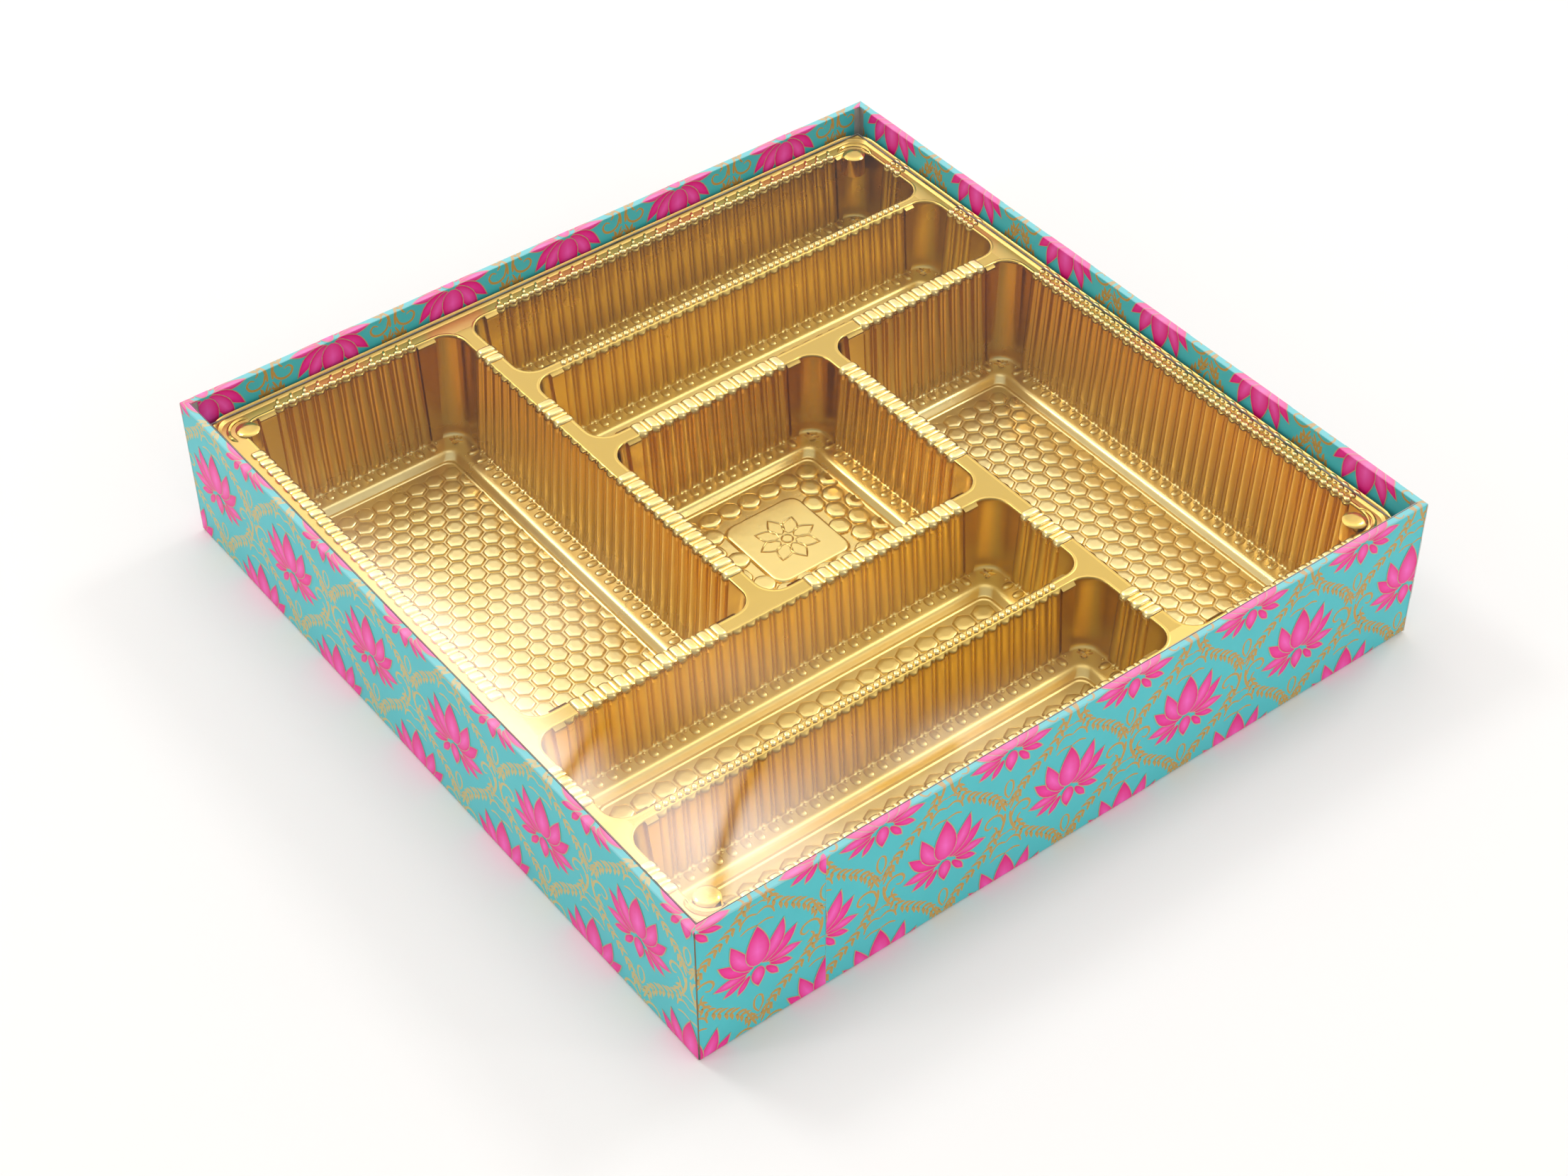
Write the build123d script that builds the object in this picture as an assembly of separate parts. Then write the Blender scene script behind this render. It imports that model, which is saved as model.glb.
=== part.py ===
from build123d import *
import os
from math import cos, floor, radians, sin, sqrt

# Sweet box: a paper-wrapped board box, a formed tray of seven fluted cups, a clear cover sheet
# Lengths in millimetres, +Z up, origin under the middle of the base
# +X runs along the lapped front wall, +Y from the front wall to the back wall

# Box
box_side = 254.0
box_height = 50.0
board_t = 2.0
wrap_t = 0.25
paste_t = 0.1
base_sheet_t = 0.25
base_sheet_inset = 3.0
liner_t = 0.2
liner_gap = 0.4

# Turned edges of the wrap
turn_in_depth = 30.0
turn_in_corner_gap = 2.0
turn_under_width = 15.0
mitre_slit_w = 0.3
mitre_bridge = 0.7
lap_from_corner = 40.5
lap_length = 22.0

# Corner stays
stay_leg = 15.0
stay_edge_gap = 2.0

# Tray sheet and flange
sheet_t = 0.45
seat_gap = 0.1
tray_height = 38.4
flange_gap = 0.7
flange_corner_r = 8.0
lip_inset = 1.2
lip_w = 1.4
lip_h = 0.8
knob_r = 2.6
knob_h = 0.8
knob_inset = 6.0

# Lands round the cups, and the dividers between them
left_land = 8.9
front_left_land = 6.1
right_land = 5.6
back_land = 7.0
front_land = 5.8
divider_w = 5.0
narrow_divider_w = 3.2

# Columns from the left and rows from the back, as shares of the width that they divide
column_shares = (0.334, 0.343, 0.323)
row_shares = (0.149, 0.161, 0.355, 0.1765, 0.1585)

# Cups
centre_cup_depth = 27.2
long_cup_depth = 24.2
cup_corner_r = 6.5
wall_draft_share = 0.07
ledge_w = 6.3
bevel_w = 2.2
panel_step = 1.8
panel_corner_r = 3.0
bevel_wall_share = 0.5

# Flutes of the cup walls
flute_pitch = 4.6
flute_depth = 0.9
flute_end_gap = 3.6
flute_shoulder_share = 0.2

# Raised plate on the floor of the centre cup
plate_w = 27.5
plate_l = 29.5
plate_h = 0.9
plate_corner_r = 4.0
plate_shift_x = -1.5
plate_shift_y = 1.5

# Cover sheet
cover_t = 0.2
cover_inset = 2.2
cover_gap = 0.1

# Overrun of every cutting tool
overrun = 0.5

# Places worked out from the sizes above
half = box_side / 2
front_y = -half + wrap_t
wrap_bottom_z = base_sheet_t
board_bottom_z = wrap_bottom_z + wrap_t
board_top_z = box_height - wrap_t
board_inset = wrap_t + paste_t
rim_t = board_inset + board_t + wrap_t
floor_top_z = board_bottom_z + board_t + liner_t
flange_z = floor_top_z + seat_gap + tray_height
web_bottom_z = flange_z - sheet_t
flange_half = half - rim_t - wrap_t - flange_gap
large_panel_z = floor_top_z + seat_gap + sheet_t
large_ledge_z = large_panel_z + panel_step
centre_ledge_z = flange_z - centre_cup_depth
long_ledge_z = flange_z - long_cup_depth


def block(x0, x1, y0, y1, z0, z1):
    """A box between six planes."""
    centre = Pos((x0 + x1) / 2, (y0 + y1) / 2, (z0 + z1) / 2)
    return centre * Box(x1 - x0, y1 - y0, z1 - z0)


def shell_block(inset, z0, z1):
    """A box whose sides lie a given depth inside the wrapped outer faces."""
    return block(-half + inset, half - inset, front_y + inset, half - inset, z0, z1)


def ring(inset, width, z0, z1):
    """A square frame that starts a given depth inside the wrapped outer faces."""
    hole = shell_block(inset + width, z0 - overrun, z1 + overrun)
    return shell_block(inset, z0, z1) - hole


def corners(inset):
    """The four upright corners at a given depth, each with its outward directions."""
    for side_x in (-1, 1):
        for side_y in (-1, 1):
            corner_y = front_y + inset if side_y < 0 else half - inset
            yield side_x * (half - inset), corner_y, side_x, side_y


def corner_block(x, y, side_x, side_y, size, z0, z1):
    """A square post that reaches inwards from an upright corner."""
    x1, y1 = x - side_x * size, y - side_y * size
    return block(min(x, x1), max(x, x1), min(y, y1), max(y, y1), z0, z1)


def make_boards():
    """The base plate and the four wall strips, which stand on the turned-under wrap."""
    outer, inner = board_inset, board_inset + board_t
    boards = {"base_board": shell_block(inner, board_bottom_z, board_bottom_z + board_t)}
    end_x, inner_x = half - outer, half - inner
    z_span = (board_bottom_z, board_top_z)
    boards["front_wall_board"] = block(-end_x, end_x, front_y + outer, front_y + inner, *z_span)
    boards["back_wall_board"] = block(-end_x, end_x, half - inner, half - outer, *z_span)
    side_y = (front_y + inner, half - inner)
    boards["left_wall_board"] = block(-end_x, -inner_x, *side_y, *z_span)
    boards["right_wall_board"] = block(inner_x, end_x, *side_y, *z_span)
    return boards


def make_corner_stays():
    """Tape round each upright corner of the boards, as thick as the paste layer."""
    z0, z1 = board_bottom_z + stay_edge_gap, board_top_z - stay_edge_gap
    tape = ring(wrap_t, paste_t, z0, z1)
    names = iter(("front_left", "back_left", "front_right", "back_right"))
    return {
        f"corner_stay_{name}": tape & corner_block(*corner, stay_leg, z0, z1)
        for name, corner in zip(names, corners(wrap_t))
    }


def make_printed_wrap():
    """One strip round the walls, turned in over the rim and turned under the base."""
    flap_inset = rim_t - wrap_t
    wrap = ring(0, wrap_t, wrap_bottom_z, box_height)
    wrap += ring(0, rim_t, box_height - wrap_t, box_height)
    wrap += ring(0, turn_under_width, wrap_bottom_z, wrap_bottom_z + wrap_t)
    flaps = ring(flap_inset, wrap_t, box_height - turn_in_depth, box_height)
    for corner in corners(flap_inset):
        flaps -= corner_block(*corner, turn_in_corner_gap, 0, box_height - wrap_t)
    wrap += flaps
    for x, y, side_x, side_y in corners(0):
        reach = rim_t * sqrt(2) - mitre_bridge + overrun
        middle = (mitre_bridge + reach / 2) / sqrt(2)
        place = Pos(x - side_x * middle, y - side_y * middle, box_height)
        turn = Rot(0, 0, 45 * side_x * side_y)
        wrap -= place * turn * Box(reach, mitre_slit_w, 2 * wrap_t + overrun)
    return wrap + make_lap()


def make_lap():
    """The strip's end, which laps over its start and thins to nothing."""
    lap_x = -half + lap_from_corner
    edge = Polyline(
        (lap_x, front_y), (lap_x, front_y - wrap_t), (lap_x + lap_length, front_y), close=True
    )
    rise = box_height - wrap_bottom_z
    return Pos(0, 0, wrap_bottom_z) * extrude(make_face(edge), rise)


def rounded_block(x0, x1, y0, y1, radius, z0, z1):
    """An upright block with rounded corners."""
    face = RectangleRounded(x1 - x0, y1 - y0, radius)
    return Pos((x0 + x1) / 2, (y0 + y1) / 2, z0) * extrude(face, z1 - z0)


def flute_points(length, depth):
    """Points along one straight wall: flutes in its middle, plain towards its corners.

    Each point is a distance from the wall's middle and a depth into the cup.
    """
    room = length - 2 * (cup_corner_r + flute_end_gap)
    count = max(floor(room / flute_pitch), 0)
    start = -count * flute_pitch / 2
    points = []
    for number in range(count):
        here = start + number * flute_pitch
        shoulder = flute_shoulder_share * flute_pitch
        points += [(here, 0), (here + shoulder, depth), (here + flute_pitch - shoulder, depth)]
    return points + [(-start, 0)] if count else points


def cup_wire(edges, inset, z, fluted=True):
    """The outline of a cup at one height, its flutes standing into the cup."""
    x0, x1, y0, y1 = edges
    mid_x, mid_y = (x0 + x1) / 2, (y0 + y1) / 2
    half_x, half_y = (x1 - x0) / 2 - inset, (y1 - y0) / 2 - inset
    radius = cup_corner_r if fluted else panel_corner_r
    lines = []
    turn = radius * (1 - cos(radians(45)))
    for quarter in range(4):
        along, across = (half_x, half_y) if quarter % 2 == 0 else (half_y, half_x)
        full = x1 - x0 if quarter % 2 == 0 else y1 - y0
        waves = flute_points(full, flute_depth) if fluted else []
        wall = [(-along + radius, 0), *waves, (along - radius, 0)]
        local = [(s, depth - across) for s, depth in wall]
        mid = (along - turn, -across + turn)
        end = (along, -across + radius)

        def place(point):
            s, t = point
            c, d = round(cos(radians(90 * quarter))), round(sin(radians(90 * quarter)))
            return Vector(mid_x + s * c - t * d, mid_y + s * d + t * c, z)

        lines.append(Polyline(*[place(point) for point in local]))
        lines.append(ThreePointArc(place(local[-1]), place(mid), place(end)))
    return Wire([edge for line in lines for edge in line.edges()])


def cup_loft(edges, z0, inset0, z1, inset1, fluted=True):
    """A drafted block between two outlines of one cup."""
    wires = [cup_wire(edges, inset0, z0, fluted), cup_wire(edges, inset1, z1, fluted)]
    return Solid.make_loft(wires, ruled=True)


def cup_bore(edges, ledge_z):
    """What a cup's walls enclose, from its ledge to above the flange."""
    top_z = flange_z + overrun
    bottom_inset = (flange_z - ledge_z) * wall_draft_share
    top_inset = (flange_z - top_z) * wall_draft_share
    return cup_loft(edges, ledge_z, bottom_inset, top_z, top_inset)


def make_cup(edges, ledge_z):
    """One cup: fluted walls, a flat ledge round the floor and a sunk panel."""
    wall_inset = (flange_z - ledge_z) * wall_draft_share
    top_inset = (flange_z - web_bottom_z) * wall_draft_share
    body = cup_loft(
        edges, ledge_z - sheet_t, wall_inset - sheet_t, web_bottom_z, top_inset - sheet_t
    )
    ledge_end = wall_inset + ledge_w
    panel_edge = ledge_end + bevel_w
    panel_z = ledge_z - panel_step
    grow = sheet_t * bevel_wall_share
    body += cup_loft(
        edges, panel_z - sheet_t, panel_edge - grow, ledge_z - sheet_t, ledge_end - grow, False
    )
    over_inset = ledge_end - overrun * bevel_w / panel_step
    body -= cup_bore(edges, ledge_z)
    return body - cup_loft(edges, panel_z, panel_edge, ledge_z + overrun, over_inset, False)


def add_plate(cup, edges, panel_z):
    """The raised bare plate on a cup's floor, formed up from the sheet."""
    mid_x = (edges[0] + edges[1]) / 2 + plate_shift_x
    mid_y = (edges[2] + edges[3]) / 2 + plate_shift_y
    sides = (mid_x - plate_w / 2, mid_x + plate_w / 2, mid_y - plate_l / 2, mid_y + plate_l / 2)
    inner = (sides[0] + sheet_t, sides[1] - sheet_t, sides[2] + sheet_t, sides[3] - sheet_t)
    top_z = panel_z + plate_h
    cup += rounded_block(*sides, plate_corner_r, panel_z, top_z)
    hollow_z = panel_z - sheet_t - overrun
    return cup - rounded_block(*inner, plate_corner_r - sheet_t, hollow_z, top_z - sheet_t)


def cup_edges():
    """The opening of each cup at the flange, as its low and high X and Y, with its ledge."""
    span_x = 2 * flange_half - left_land - right_land - 2 * divider_w
    columns = [share * span_x for share in column_shares]
    left_0 = -flange_half + left_land
    left_1 = left_0 + columns[0]
    mid_0 = left_1 + divider_w
    mid_1 = mid_0 + columns[1]
    right_0 = mid_1 + divider_w
    right_1 = flange_half - right_land
    front_left = -flange_half + front_left_land
    dividers = 2 * divider_w + 2 * narrow_divider_w
    span_y = 2 * flange_half - back_land - front_land - dividers
    rows = [share * span_y for share in row_shares]
    back_1 = flange_half - back_land
    back_0 = back_1 - rows[0]
    inner_back_1 = back_0 - narrow_divider_w
    inner_back_0 = inner_back_1 - rows[1]
    centre_1 = inner_back_0 - divider_w
    centre_0 = centre_1 - rows[2]
    inner_front_1 = centre_0 - divider_w
    inner_front_0 = inner_front_1 - rows[3]
    front_1 = inner_front_0 - narrow_divider_w
    front_0 = -flange_half + front_land
    return {
        "cup_left_large": ((left_0, left_1, centre_0, back_1), large_ledge_z),
        "cup_back_long": ((mid_0, right_1, back_0, back_1), long_ledge_z),
        "cup_inner_back_long": ((mid_0, right_1, inner_back_0, inner_back_1), long_ledge_z),
        "cup_centre": ((mid_0, mid_1, centre_0, centre_1), centre_ledge_z),
        "cup_right_large": ((right_0, right_1, front_0, centre_1), large_ledge_z),
        "cup_inner_front_long": ((front_left, mid_1, inner_front_0, inner_front_1), long_ledge_z),
        "cup_front_long": ((front_left, mid_1, front_0, front_1), long_ledge_z),
    }


def make_web(cups):
    """The flange and dividers: one flat sheet with seven openings, a lip and corner knobs."""
    sides = (-flange_half, flange_half, -flange_half, flange_half)
    web = rounded_block(*sides, flange_corner_r, web_bottom_z, flange_z)
    lip_out = flange_half - lip_inset
    lip_in = lip_out - lip_w
    outer_r, inner_r = flange_corner_r - lip_inset, flange_corner_r - lip_inset - lip_w
    lip = rounded_block(-lip_out, lip_out, -lip_out, lip_out, outer_r, flange_z, flange_z + lip_h)
    lip -= rounded_block(
        -lip_in, lip_in, -lip_in, lip_in, inner_r, flange_z - overrun, flange_z + lip_h + overrun
    )
    web += lip
    knob = extrude(Circle(knob_r), knob_h, taper=45)
    knob_at = flange_half - knob_inset
    for side_x in (-1, 1):
        for side_y in (-1, 1):
            web += Pos(side_x * knob_at, side_y * knob_at, flange_z) * knob
    for edges, ledge_z in cups.values():
        web -= cup_bore(edges, ledge_z)
    return web


def make_tray():
    """The tray's web and its seven cups."""
    cups = cup_edges()
    pieces = {"tray_web": make_web(cups)}
    for name, (edges, ledge_z) in cups.items():
        pieces[name] = make_cup(edges, ledge_z)
    centre_edges, centre_z = cups["cup_centre"]
    pieces["cup_centre"] = add_plate(
        pieces["cup_centre"], centre_edges, centre_z - panel_step
    )
    return pieces


def make_papers():
    """The sheet under the base, the liner on its floor and the clear cover over the tray."""
    liner_inset = board_inset + board_t + liner_gap
    cover_half = flange_half - cover_inset
    cover_z = flange_z + lip_h + cover_gap
    return {
        "base_sheet": shell_block(base_sheet_inset, 0, base_sheet_t),
        "floor_liner": shell_block(liner_inset, floor_top_z - liner_t, floor_top_z),
        "cover_sheet": block(
            -cover_half, cover_half, -cover_half, cover_half, cover_z, cover_z + cover_t
        ),
    }


pieces = {
    **make_boards(),
    **make_corner_stays(),
    "printed_wrap": make_printed_wrap(),
    **make_papers(),
    **make_tray(),
}
os.makedirs("parts", exist_ok=True)
for name, piece in pieces.items():
    export_step(piece, f"parts/{name}.step")
    print(name, round(piece.volume, 1))
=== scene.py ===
import math
import random
import bpy
from mathutils import Matrix, Vector
from mathutils.geometry import delaunay_2d_cdt


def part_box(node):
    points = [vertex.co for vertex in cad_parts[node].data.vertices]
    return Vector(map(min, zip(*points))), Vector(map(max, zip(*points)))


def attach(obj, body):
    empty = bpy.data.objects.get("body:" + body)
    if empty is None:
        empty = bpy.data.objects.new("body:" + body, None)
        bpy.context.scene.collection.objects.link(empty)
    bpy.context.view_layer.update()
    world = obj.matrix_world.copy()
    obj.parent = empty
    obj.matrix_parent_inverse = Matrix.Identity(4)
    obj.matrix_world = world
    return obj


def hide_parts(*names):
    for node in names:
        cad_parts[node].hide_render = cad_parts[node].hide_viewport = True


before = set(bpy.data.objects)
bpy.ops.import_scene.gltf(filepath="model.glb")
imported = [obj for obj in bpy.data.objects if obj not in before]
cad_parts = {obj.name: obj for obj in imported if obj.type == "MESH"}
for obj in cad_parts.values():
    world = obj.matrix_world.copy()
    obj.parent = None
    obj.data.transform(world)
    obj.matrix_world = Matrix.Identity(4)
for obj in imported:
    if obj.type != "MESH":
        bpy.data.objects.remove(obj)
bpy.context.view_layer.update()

# Shapes and the camera's place are in millimetres until they are made; materials, lights and floor use metres
MM = 0.001
random.seed(7)


def node_box(name):
    """A CAD node's low and high corners, in millimetres."""
    low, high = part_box(name)
    return low / MM, high / MM


# The sheets' places, read from the frame, and their sizes
WRAP_LOW, WRAP_HIGH = node_box("printed_wrap")
HALF = WRAP_HIGH.x
RIM_Z = WRAP_HIGH.z
WRAP_FOOT_Z = WRAP_LOW.z
WEB_HIGH = node_box("tray_web")[1]
WEB_HALF = WEB_HIGH.x
LIP_HEIGHT = 0.8
FLANGE_Z = WEB_HIGH.z - LIP_HEIGHT
SHEET = 0.45
RIM_WIDTH = 2.6
TURN_IN = 30.0
TURN_UNDER = 15.0

# Print colours, linear, and painted light and shade on the print: a lighter foil, a shadow line and a rim
# glare
TEAL = (0.074, 0.540, 0.580)
GOLD_INK = (0.530, 0.320, 0.080)
# Gold ink painted lighter on the left wall: a painted highlight where the foil catches the light
LIT_FOIL = (0.600, 0.480, 0.190)
# Painted shadow: a dark line along the rim's inner edge, where the rim shades the film
PAINTED_SHADOW_LINE = (0.085, 0.075, 0.065)
PALE_LINE = (0.460, 0.430, 0.210)
PINK_EDGE = (0.800, 0.002, 0.205)
PINK_LIGHT = (0.970, 0.130, 0.560)
PINK_SIDE_LIGHT = (0.930, 0.045, 0.405)
PAPER_WHITE = (0.80, 0.79, 0.76)
# Painted glare: a blue-white blended into the print where the sheet turns over the rim
RIM_GLARE = (0.95, 0.97, 1.0)


class Shell:
    """Points and faces of one mesh, gathered in millimetres."""

    def __init__(self):
        """An empty shell."""
        self.points, self.faces, self.slots, self.colors = [], [], [], []

    def add(self, points, faces, slot=0, colors=None):
        """Adds points and the faces between them; colours are one list for each face."""
        start = len(self.points)
        self.points += [tuple(p) for p in points]
        self.faces += [tuple(start + i for i in face) for face in faces]
        self.slots += [slot] * len(faces)
        self.colors += colors or [None] * len(faces)

    def face(self, points, slot=0, colors=None):
        """One face with points of its own."""
        self.add(points, [tuple(range(len(points)))], slot, [colors])

    def strip(self, rows, closed=True, slot=0):
        """Quads between successive rows of points."""
        count = len(rows[0])
        points = [p for row in rows for p in row]
        faces = []
        for r in range(len(rows) - 1):
            for c in range(count if closed else count - 1):
                d = (c + 1) % count
                faces.append((r * count + c, r * count + d, (r + 1) * count + d, (r + 1) * count + c))
        self.add(points, faces, slot)

    def capped(self, rings):
        """Closed rings of points with a face over the last one."""
        self.strip(rings)
        self.face(rings[-1])

    def use_slot(self, first, slot):
        """Puts every face from a number on into a material slot."""
        self.slots[first:] = [slot] * (len(self.faces) - first)

    def outward(self, face):
        """How far a face's nearest point lies from the middle, along X or Y."""
        return min(max(abs(self.points[i][0]), abs(self.points[i][1])) for i in face)

    def make(self, name, materials, sharp_degrees=38.0):
        """The mesh as an object in metres, shaded smooth between its creases."""
        mesh = bpy.data.meshes.new(name)
        mesh.from_pydata([(x * MM, y * MM, z * MM) for x, y, z in self.points], [], self.faces)
        for material in materials:
            mesh.materials.append(material)
        mesh.polygons.foreach_set("material_index", self.slots)
        mesh.polygons.foreach_set("use_smooth", [True] * len(self.faces))
        if any(self.colors):
            layer = mesh.color_attributes.new("Print", "FLOAT_COLOR", "CORNER")
            flat = []
            for face, colors in zip(self.faces, self.colors):
                for corner in range(len(face)):
                    flat += [*(colors[corner] if colors else PAPER_WHITE), 1.0]
            layer.data.foreach_set("color", flat)
        mesh.update()
        mesh.set_sharp_from_angle(angle=math.radians(sharp_degrees))
        made = bpy.data.objects.new(name, mesh)
        bpy.context.scene.collection.objects.link(made)
        return made


# Materials


def new_material(name):
    """A material, its node tree and its Principled shader."""
    material = bpy.data.materials.new(name)
    material.use_nodes = True
    tree = material.node_tree
    return material, tree, tree.nodes["Principled BSDF"]


def fill(tree, node, inputs):
    """Links a node's inputs to other nodes' outputs, or sets them to constant values."""
    for key, value in inputs.items():
        if isinstance(value, bpy.types.NodeSocket):
            tree.links.new(value, node.inputs[key])
        else:
            node.inputs[key].default_value = value


def wire(tree, kind, output, inputs=None, **settings):
    """One output of a new shader node with these inputs and settings."""
    node = tree.nodes.new("ShaderNode" + kind)
    for name, value in settings.items():
        setattr(node, name, value)
    fill(tree, node, inputs or {})
    return node.outputs[output]


def show(tree, shader_output, target="Material Output"):
    """Makes a shader the one that is seen."""
    tree.links.new(shader_output, tree.nodes[target].inputs["Surface"])


def noise(tree, scale, detail, stretch=(1.0, 1.0, 1.0)):
    """Noise over the object's own coordinates."""
    place = wire(tree, "TexCoord", "Object")
    mapped = wire(tree, "Mapping", "Vector", {"Vector": place, "Scale": stretch})
    return wire(tree, "TexNoise", "Fac", {"Vector": mapped, "Scale": scale, "Detail": detail})


def ramp(tree, factor, stops):
    """A colour ramp between (place, colour) stops: the two ends first, then any between them."""
    ramped = wire(tree, "ValToRGB", "Color", {"Fac": factor})
    elements = ramped.node.color_ramp.elements
    for element, (place, color) in zip(elements, stops):
        element.position = place
        element.color = (*color, 1.0)
    for place, color in stops[2:]:
        elements.new(place).color = (*color, 1.0)
    return ramped


def grey_ramp(tree, factor, stops):
    """A ramp between (place, level) stops of grey."""
    return ramp(tree, factor, [(place, (level,) * 3) for place, level in stops])


def mottled(tree, scale, detail, dark, light, ends=(0.3, 0.7), stretch=(1.0, 1.0, 1.0)):
    """Noise that runs from a dark to a light colour."""
    return ramp(tree, noise(tree, scale, detail, stretch), ((ends[0], dark), (ends[1], light)))


def spread(tree, factor, low, high):
    """A factor mapped to a range of values."""
    return wire(tree, "MapRange", "Result", {"Value": factor, "To Min": low, "To Max": high})


def share_between(tree, value, low, high):
    """0 to 1 between two values."""
    return wire(tree, "MapRange", "Result", {"Value": value, "From Min": low, "From Max": high})


def multiplied(tree, first, second):
    """The product of two colours."""
    inputs = {"Fac": 1.0, "Color1": first, "Color2": second}
    return wire(tree, "MixRGB", "Color", inputs, blend_type="MULTIPLY")


def mixed(tree, share, first, second):
    """A mix of two shaders."""
    return wire(tree, "MixShader", "Shader", {"Fac": share, 1: first, 2: second})


def bump(tree, shader, factor, strength, distance):
    """Small relief on a shader's normal."""
    relief = {"Height": factor, "Strength": strength, "Distance": distance}
    fill(tree, shader, {"Normal": wire(tree, "Bump", "Normal", relief)})


# The gold sheet's tone from a cup's floor up to the flange, and the height where its gloss is full
DEEPEST = 0.003
GOLD_TONES = ((1.0, (0.69, 0.465, 0.12)), (0.35, (0.85, 0.62, 0.21)), (0.9, (0.81, 0.57, 0.17)))
FULL_GLOSS_HEIGHT = 0.034


def steep_wall_painted_shade(tree, steep_wall_shade):
    """A darker tone on the steep walls: painted shade."""
    up = wire(tree, "SeparateXYZ", "Z", {"Vector": wire(tree, "NewGeometry", "Normal")})
    flat = wire(tree, "Math", "Value", {0: up}, operation="ABSOLUTE")
    return ramp(tree, flat, ((0.12, steep_wall_shade), (0.7, (1.0, 1.0, 1.0))))


def gold_sheet(name, steep_wall_shade, floor_tone, low_roughness=0.30, high_roughness=0.16):
    """Metallised gold sheet: bright on top, duller and paler towards the cup floors, with painted shade on
    its steep walls.
    """
    material, tree, shader = new_material(name)
    height = wire(tree, "SeparateXYZ", "Z", {"Vector": wire(tree, "TexCoord", "Object")})
    height_share = share_between(tree, height, DEEPEST, FLANGE_Z * MM)
    tone = ramp(tree, height_share, ((0.0, floor_tone), *GOLD_TONES))
    glossy = share_between(tree, height, DEEPEST, FULL_GLOSS_HEIGHT)
    dull = spread(tree, glossy, low_roughness, high_roughness)
    uneven = spread(tree, noise(tree, 120.0, 4.0), 0.75, 1.25)
    fill(tree, shader, {
        "Metallic": 1.0,
        "Base Color": multiplied(tree, tone, steep_wall_painted_shade(tree, steep_wall_shade)),
        "Roughness": wire(tree, "Math", "Value", {0: dull, 1: uneven}, operation="MULTIPLY"),
    })
    bump(tree, shader, noise(tree, 260.0, 3.0), 0.12, 0.0004)
    return material


def gold_with_painted_light(name, dark, light, roughness):
    """The same sheet with a mottled colour: paler as painted highlight on the beads, caps and creases, darker
    as painted shade on the outer rim.
    """
    material, tree, shader = new_material(name)
    color = mottled(tree, 90.0, 3.0, dark, light)
    fill(tree, shader, {"Metallic": 1.0, "Base Color": color, "Roughness": roughness})
    return material


def printed_paper():
    """Laminated printed paper, coloured by the print on its mesh."""
    material, tree, shader = new_material("printed_paper")
    ink = wire(tree, "VertexColor", "Color", layer_name="Print")
    shade = mottled(tree, 60.0, 5.0, (0.93, 0.94, 0.95), (1.0, 1.0, 1.0), (0.25, 0.75))
    fill(tree, shader, {
        "Base Color": multiplied(tree, ink, shade),
        "Roughness": 0.42,
        "Specular IOR Level": 0.25,
        "Coat Weight": 0.1,
        "Coat Roughness": 0.18,
    })
    bump(tree, shader, noise(tree, 420.0, 4.0), 0.10, 0.0002)
    return material


def plain_paper(name, dark, light, roughness=0.85):
    """Uncoated paper or board with short fibres."""
    material, tree, shader = new_material(name)
    color = mottled(tree, 300.0, 6.0, dark, light, stretch=(1.0, 1.0, 0.4))
    fill(tree, shader, {"Base Color": color, "Roughness": roughness})
    bump(tree, shader, noise(tree, 900.0, 5.0), 0.25, 0.0002)
    return material


def clear_film():
    """Thin clear film: a faint glossy skin, with a painted glare, a whitish diffuse layer, added where its
    mesh says so.
    """
    material, tree, shader = new_material("clear_film")
    tree.nodes.remove(shader)
    through = wire(tree, "BsdfTransparent", "BSDF", {"Color": (0.99, 0.99, 0.985, 1.0)})
    gloss = wire(tree, "BsdfGlossy", "BSDF", {"Roughness": 0.08})
    bump(tree, gloss.node, noise(tree, 14.0, 2.0), 0.25, 0.002)
    facing = wire(tree, "LayerWeight", "Facing", {"Blend": 0.5})
    shine = grey_ramp(tree, facing, ((0.0, 0.005), (1.0, 0.6), (0.3, 0.007), (0.6, 0.04)))
    glare_tone = wire(tree, "VertexColor", "Color", layer_name="Print")
    painted_glare = wire(tree, "BsdfDiffuse", "BSDF", {"Color": glare_tone})
    show(tree, wire(tree, "AddShader", "Shader", {0: mixed(tree, shine, through, gloss), 1: painted_glare}))
    return material


def film_edge():
    """The film's cut edge, which looks darker than its face."""
    material, tree, shader = new_material("film_edge")
    shade = mottled(tree, 80.0, 2.0, (0.10, 0.10, 0.09), (0.30, 0.29, 0.26), (0.35, 0.65))
    fill(tree, shader, {"Base Color": shade, "Roughness": 0.25})
    return material


# The gold sheet, and copies whose walls carry lighter or darker painted shade, set for how the light falls in
# each cup
GOLD = gold_sheet("gold_sheet", (0.86, 0.79, 0.66), (0.86, 0.68, 0.31))
GOLD_PAINTED_LIGHTER = gold_sheet("gold_sheet_painted_lighter", (0.98, 1.0, 0.66), (0.80, 0.66, 0.38), 0.36, 0.30)
GOLD_PAINTED_SHADE = gold_sheet("gold_sheet_painted_shade", (0.88, 0.88, 0.54), (0.80, 0.66, 0.38), 0.36, 0.30)
GOLD_PAINTED_DEEP_SHADE = gold_sheet("gold_sheet_painted_deep_shade", (0.76, 0.74, 0.42), (0.80, 0.64, 0.32), 0.36, 0.28)
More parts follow.
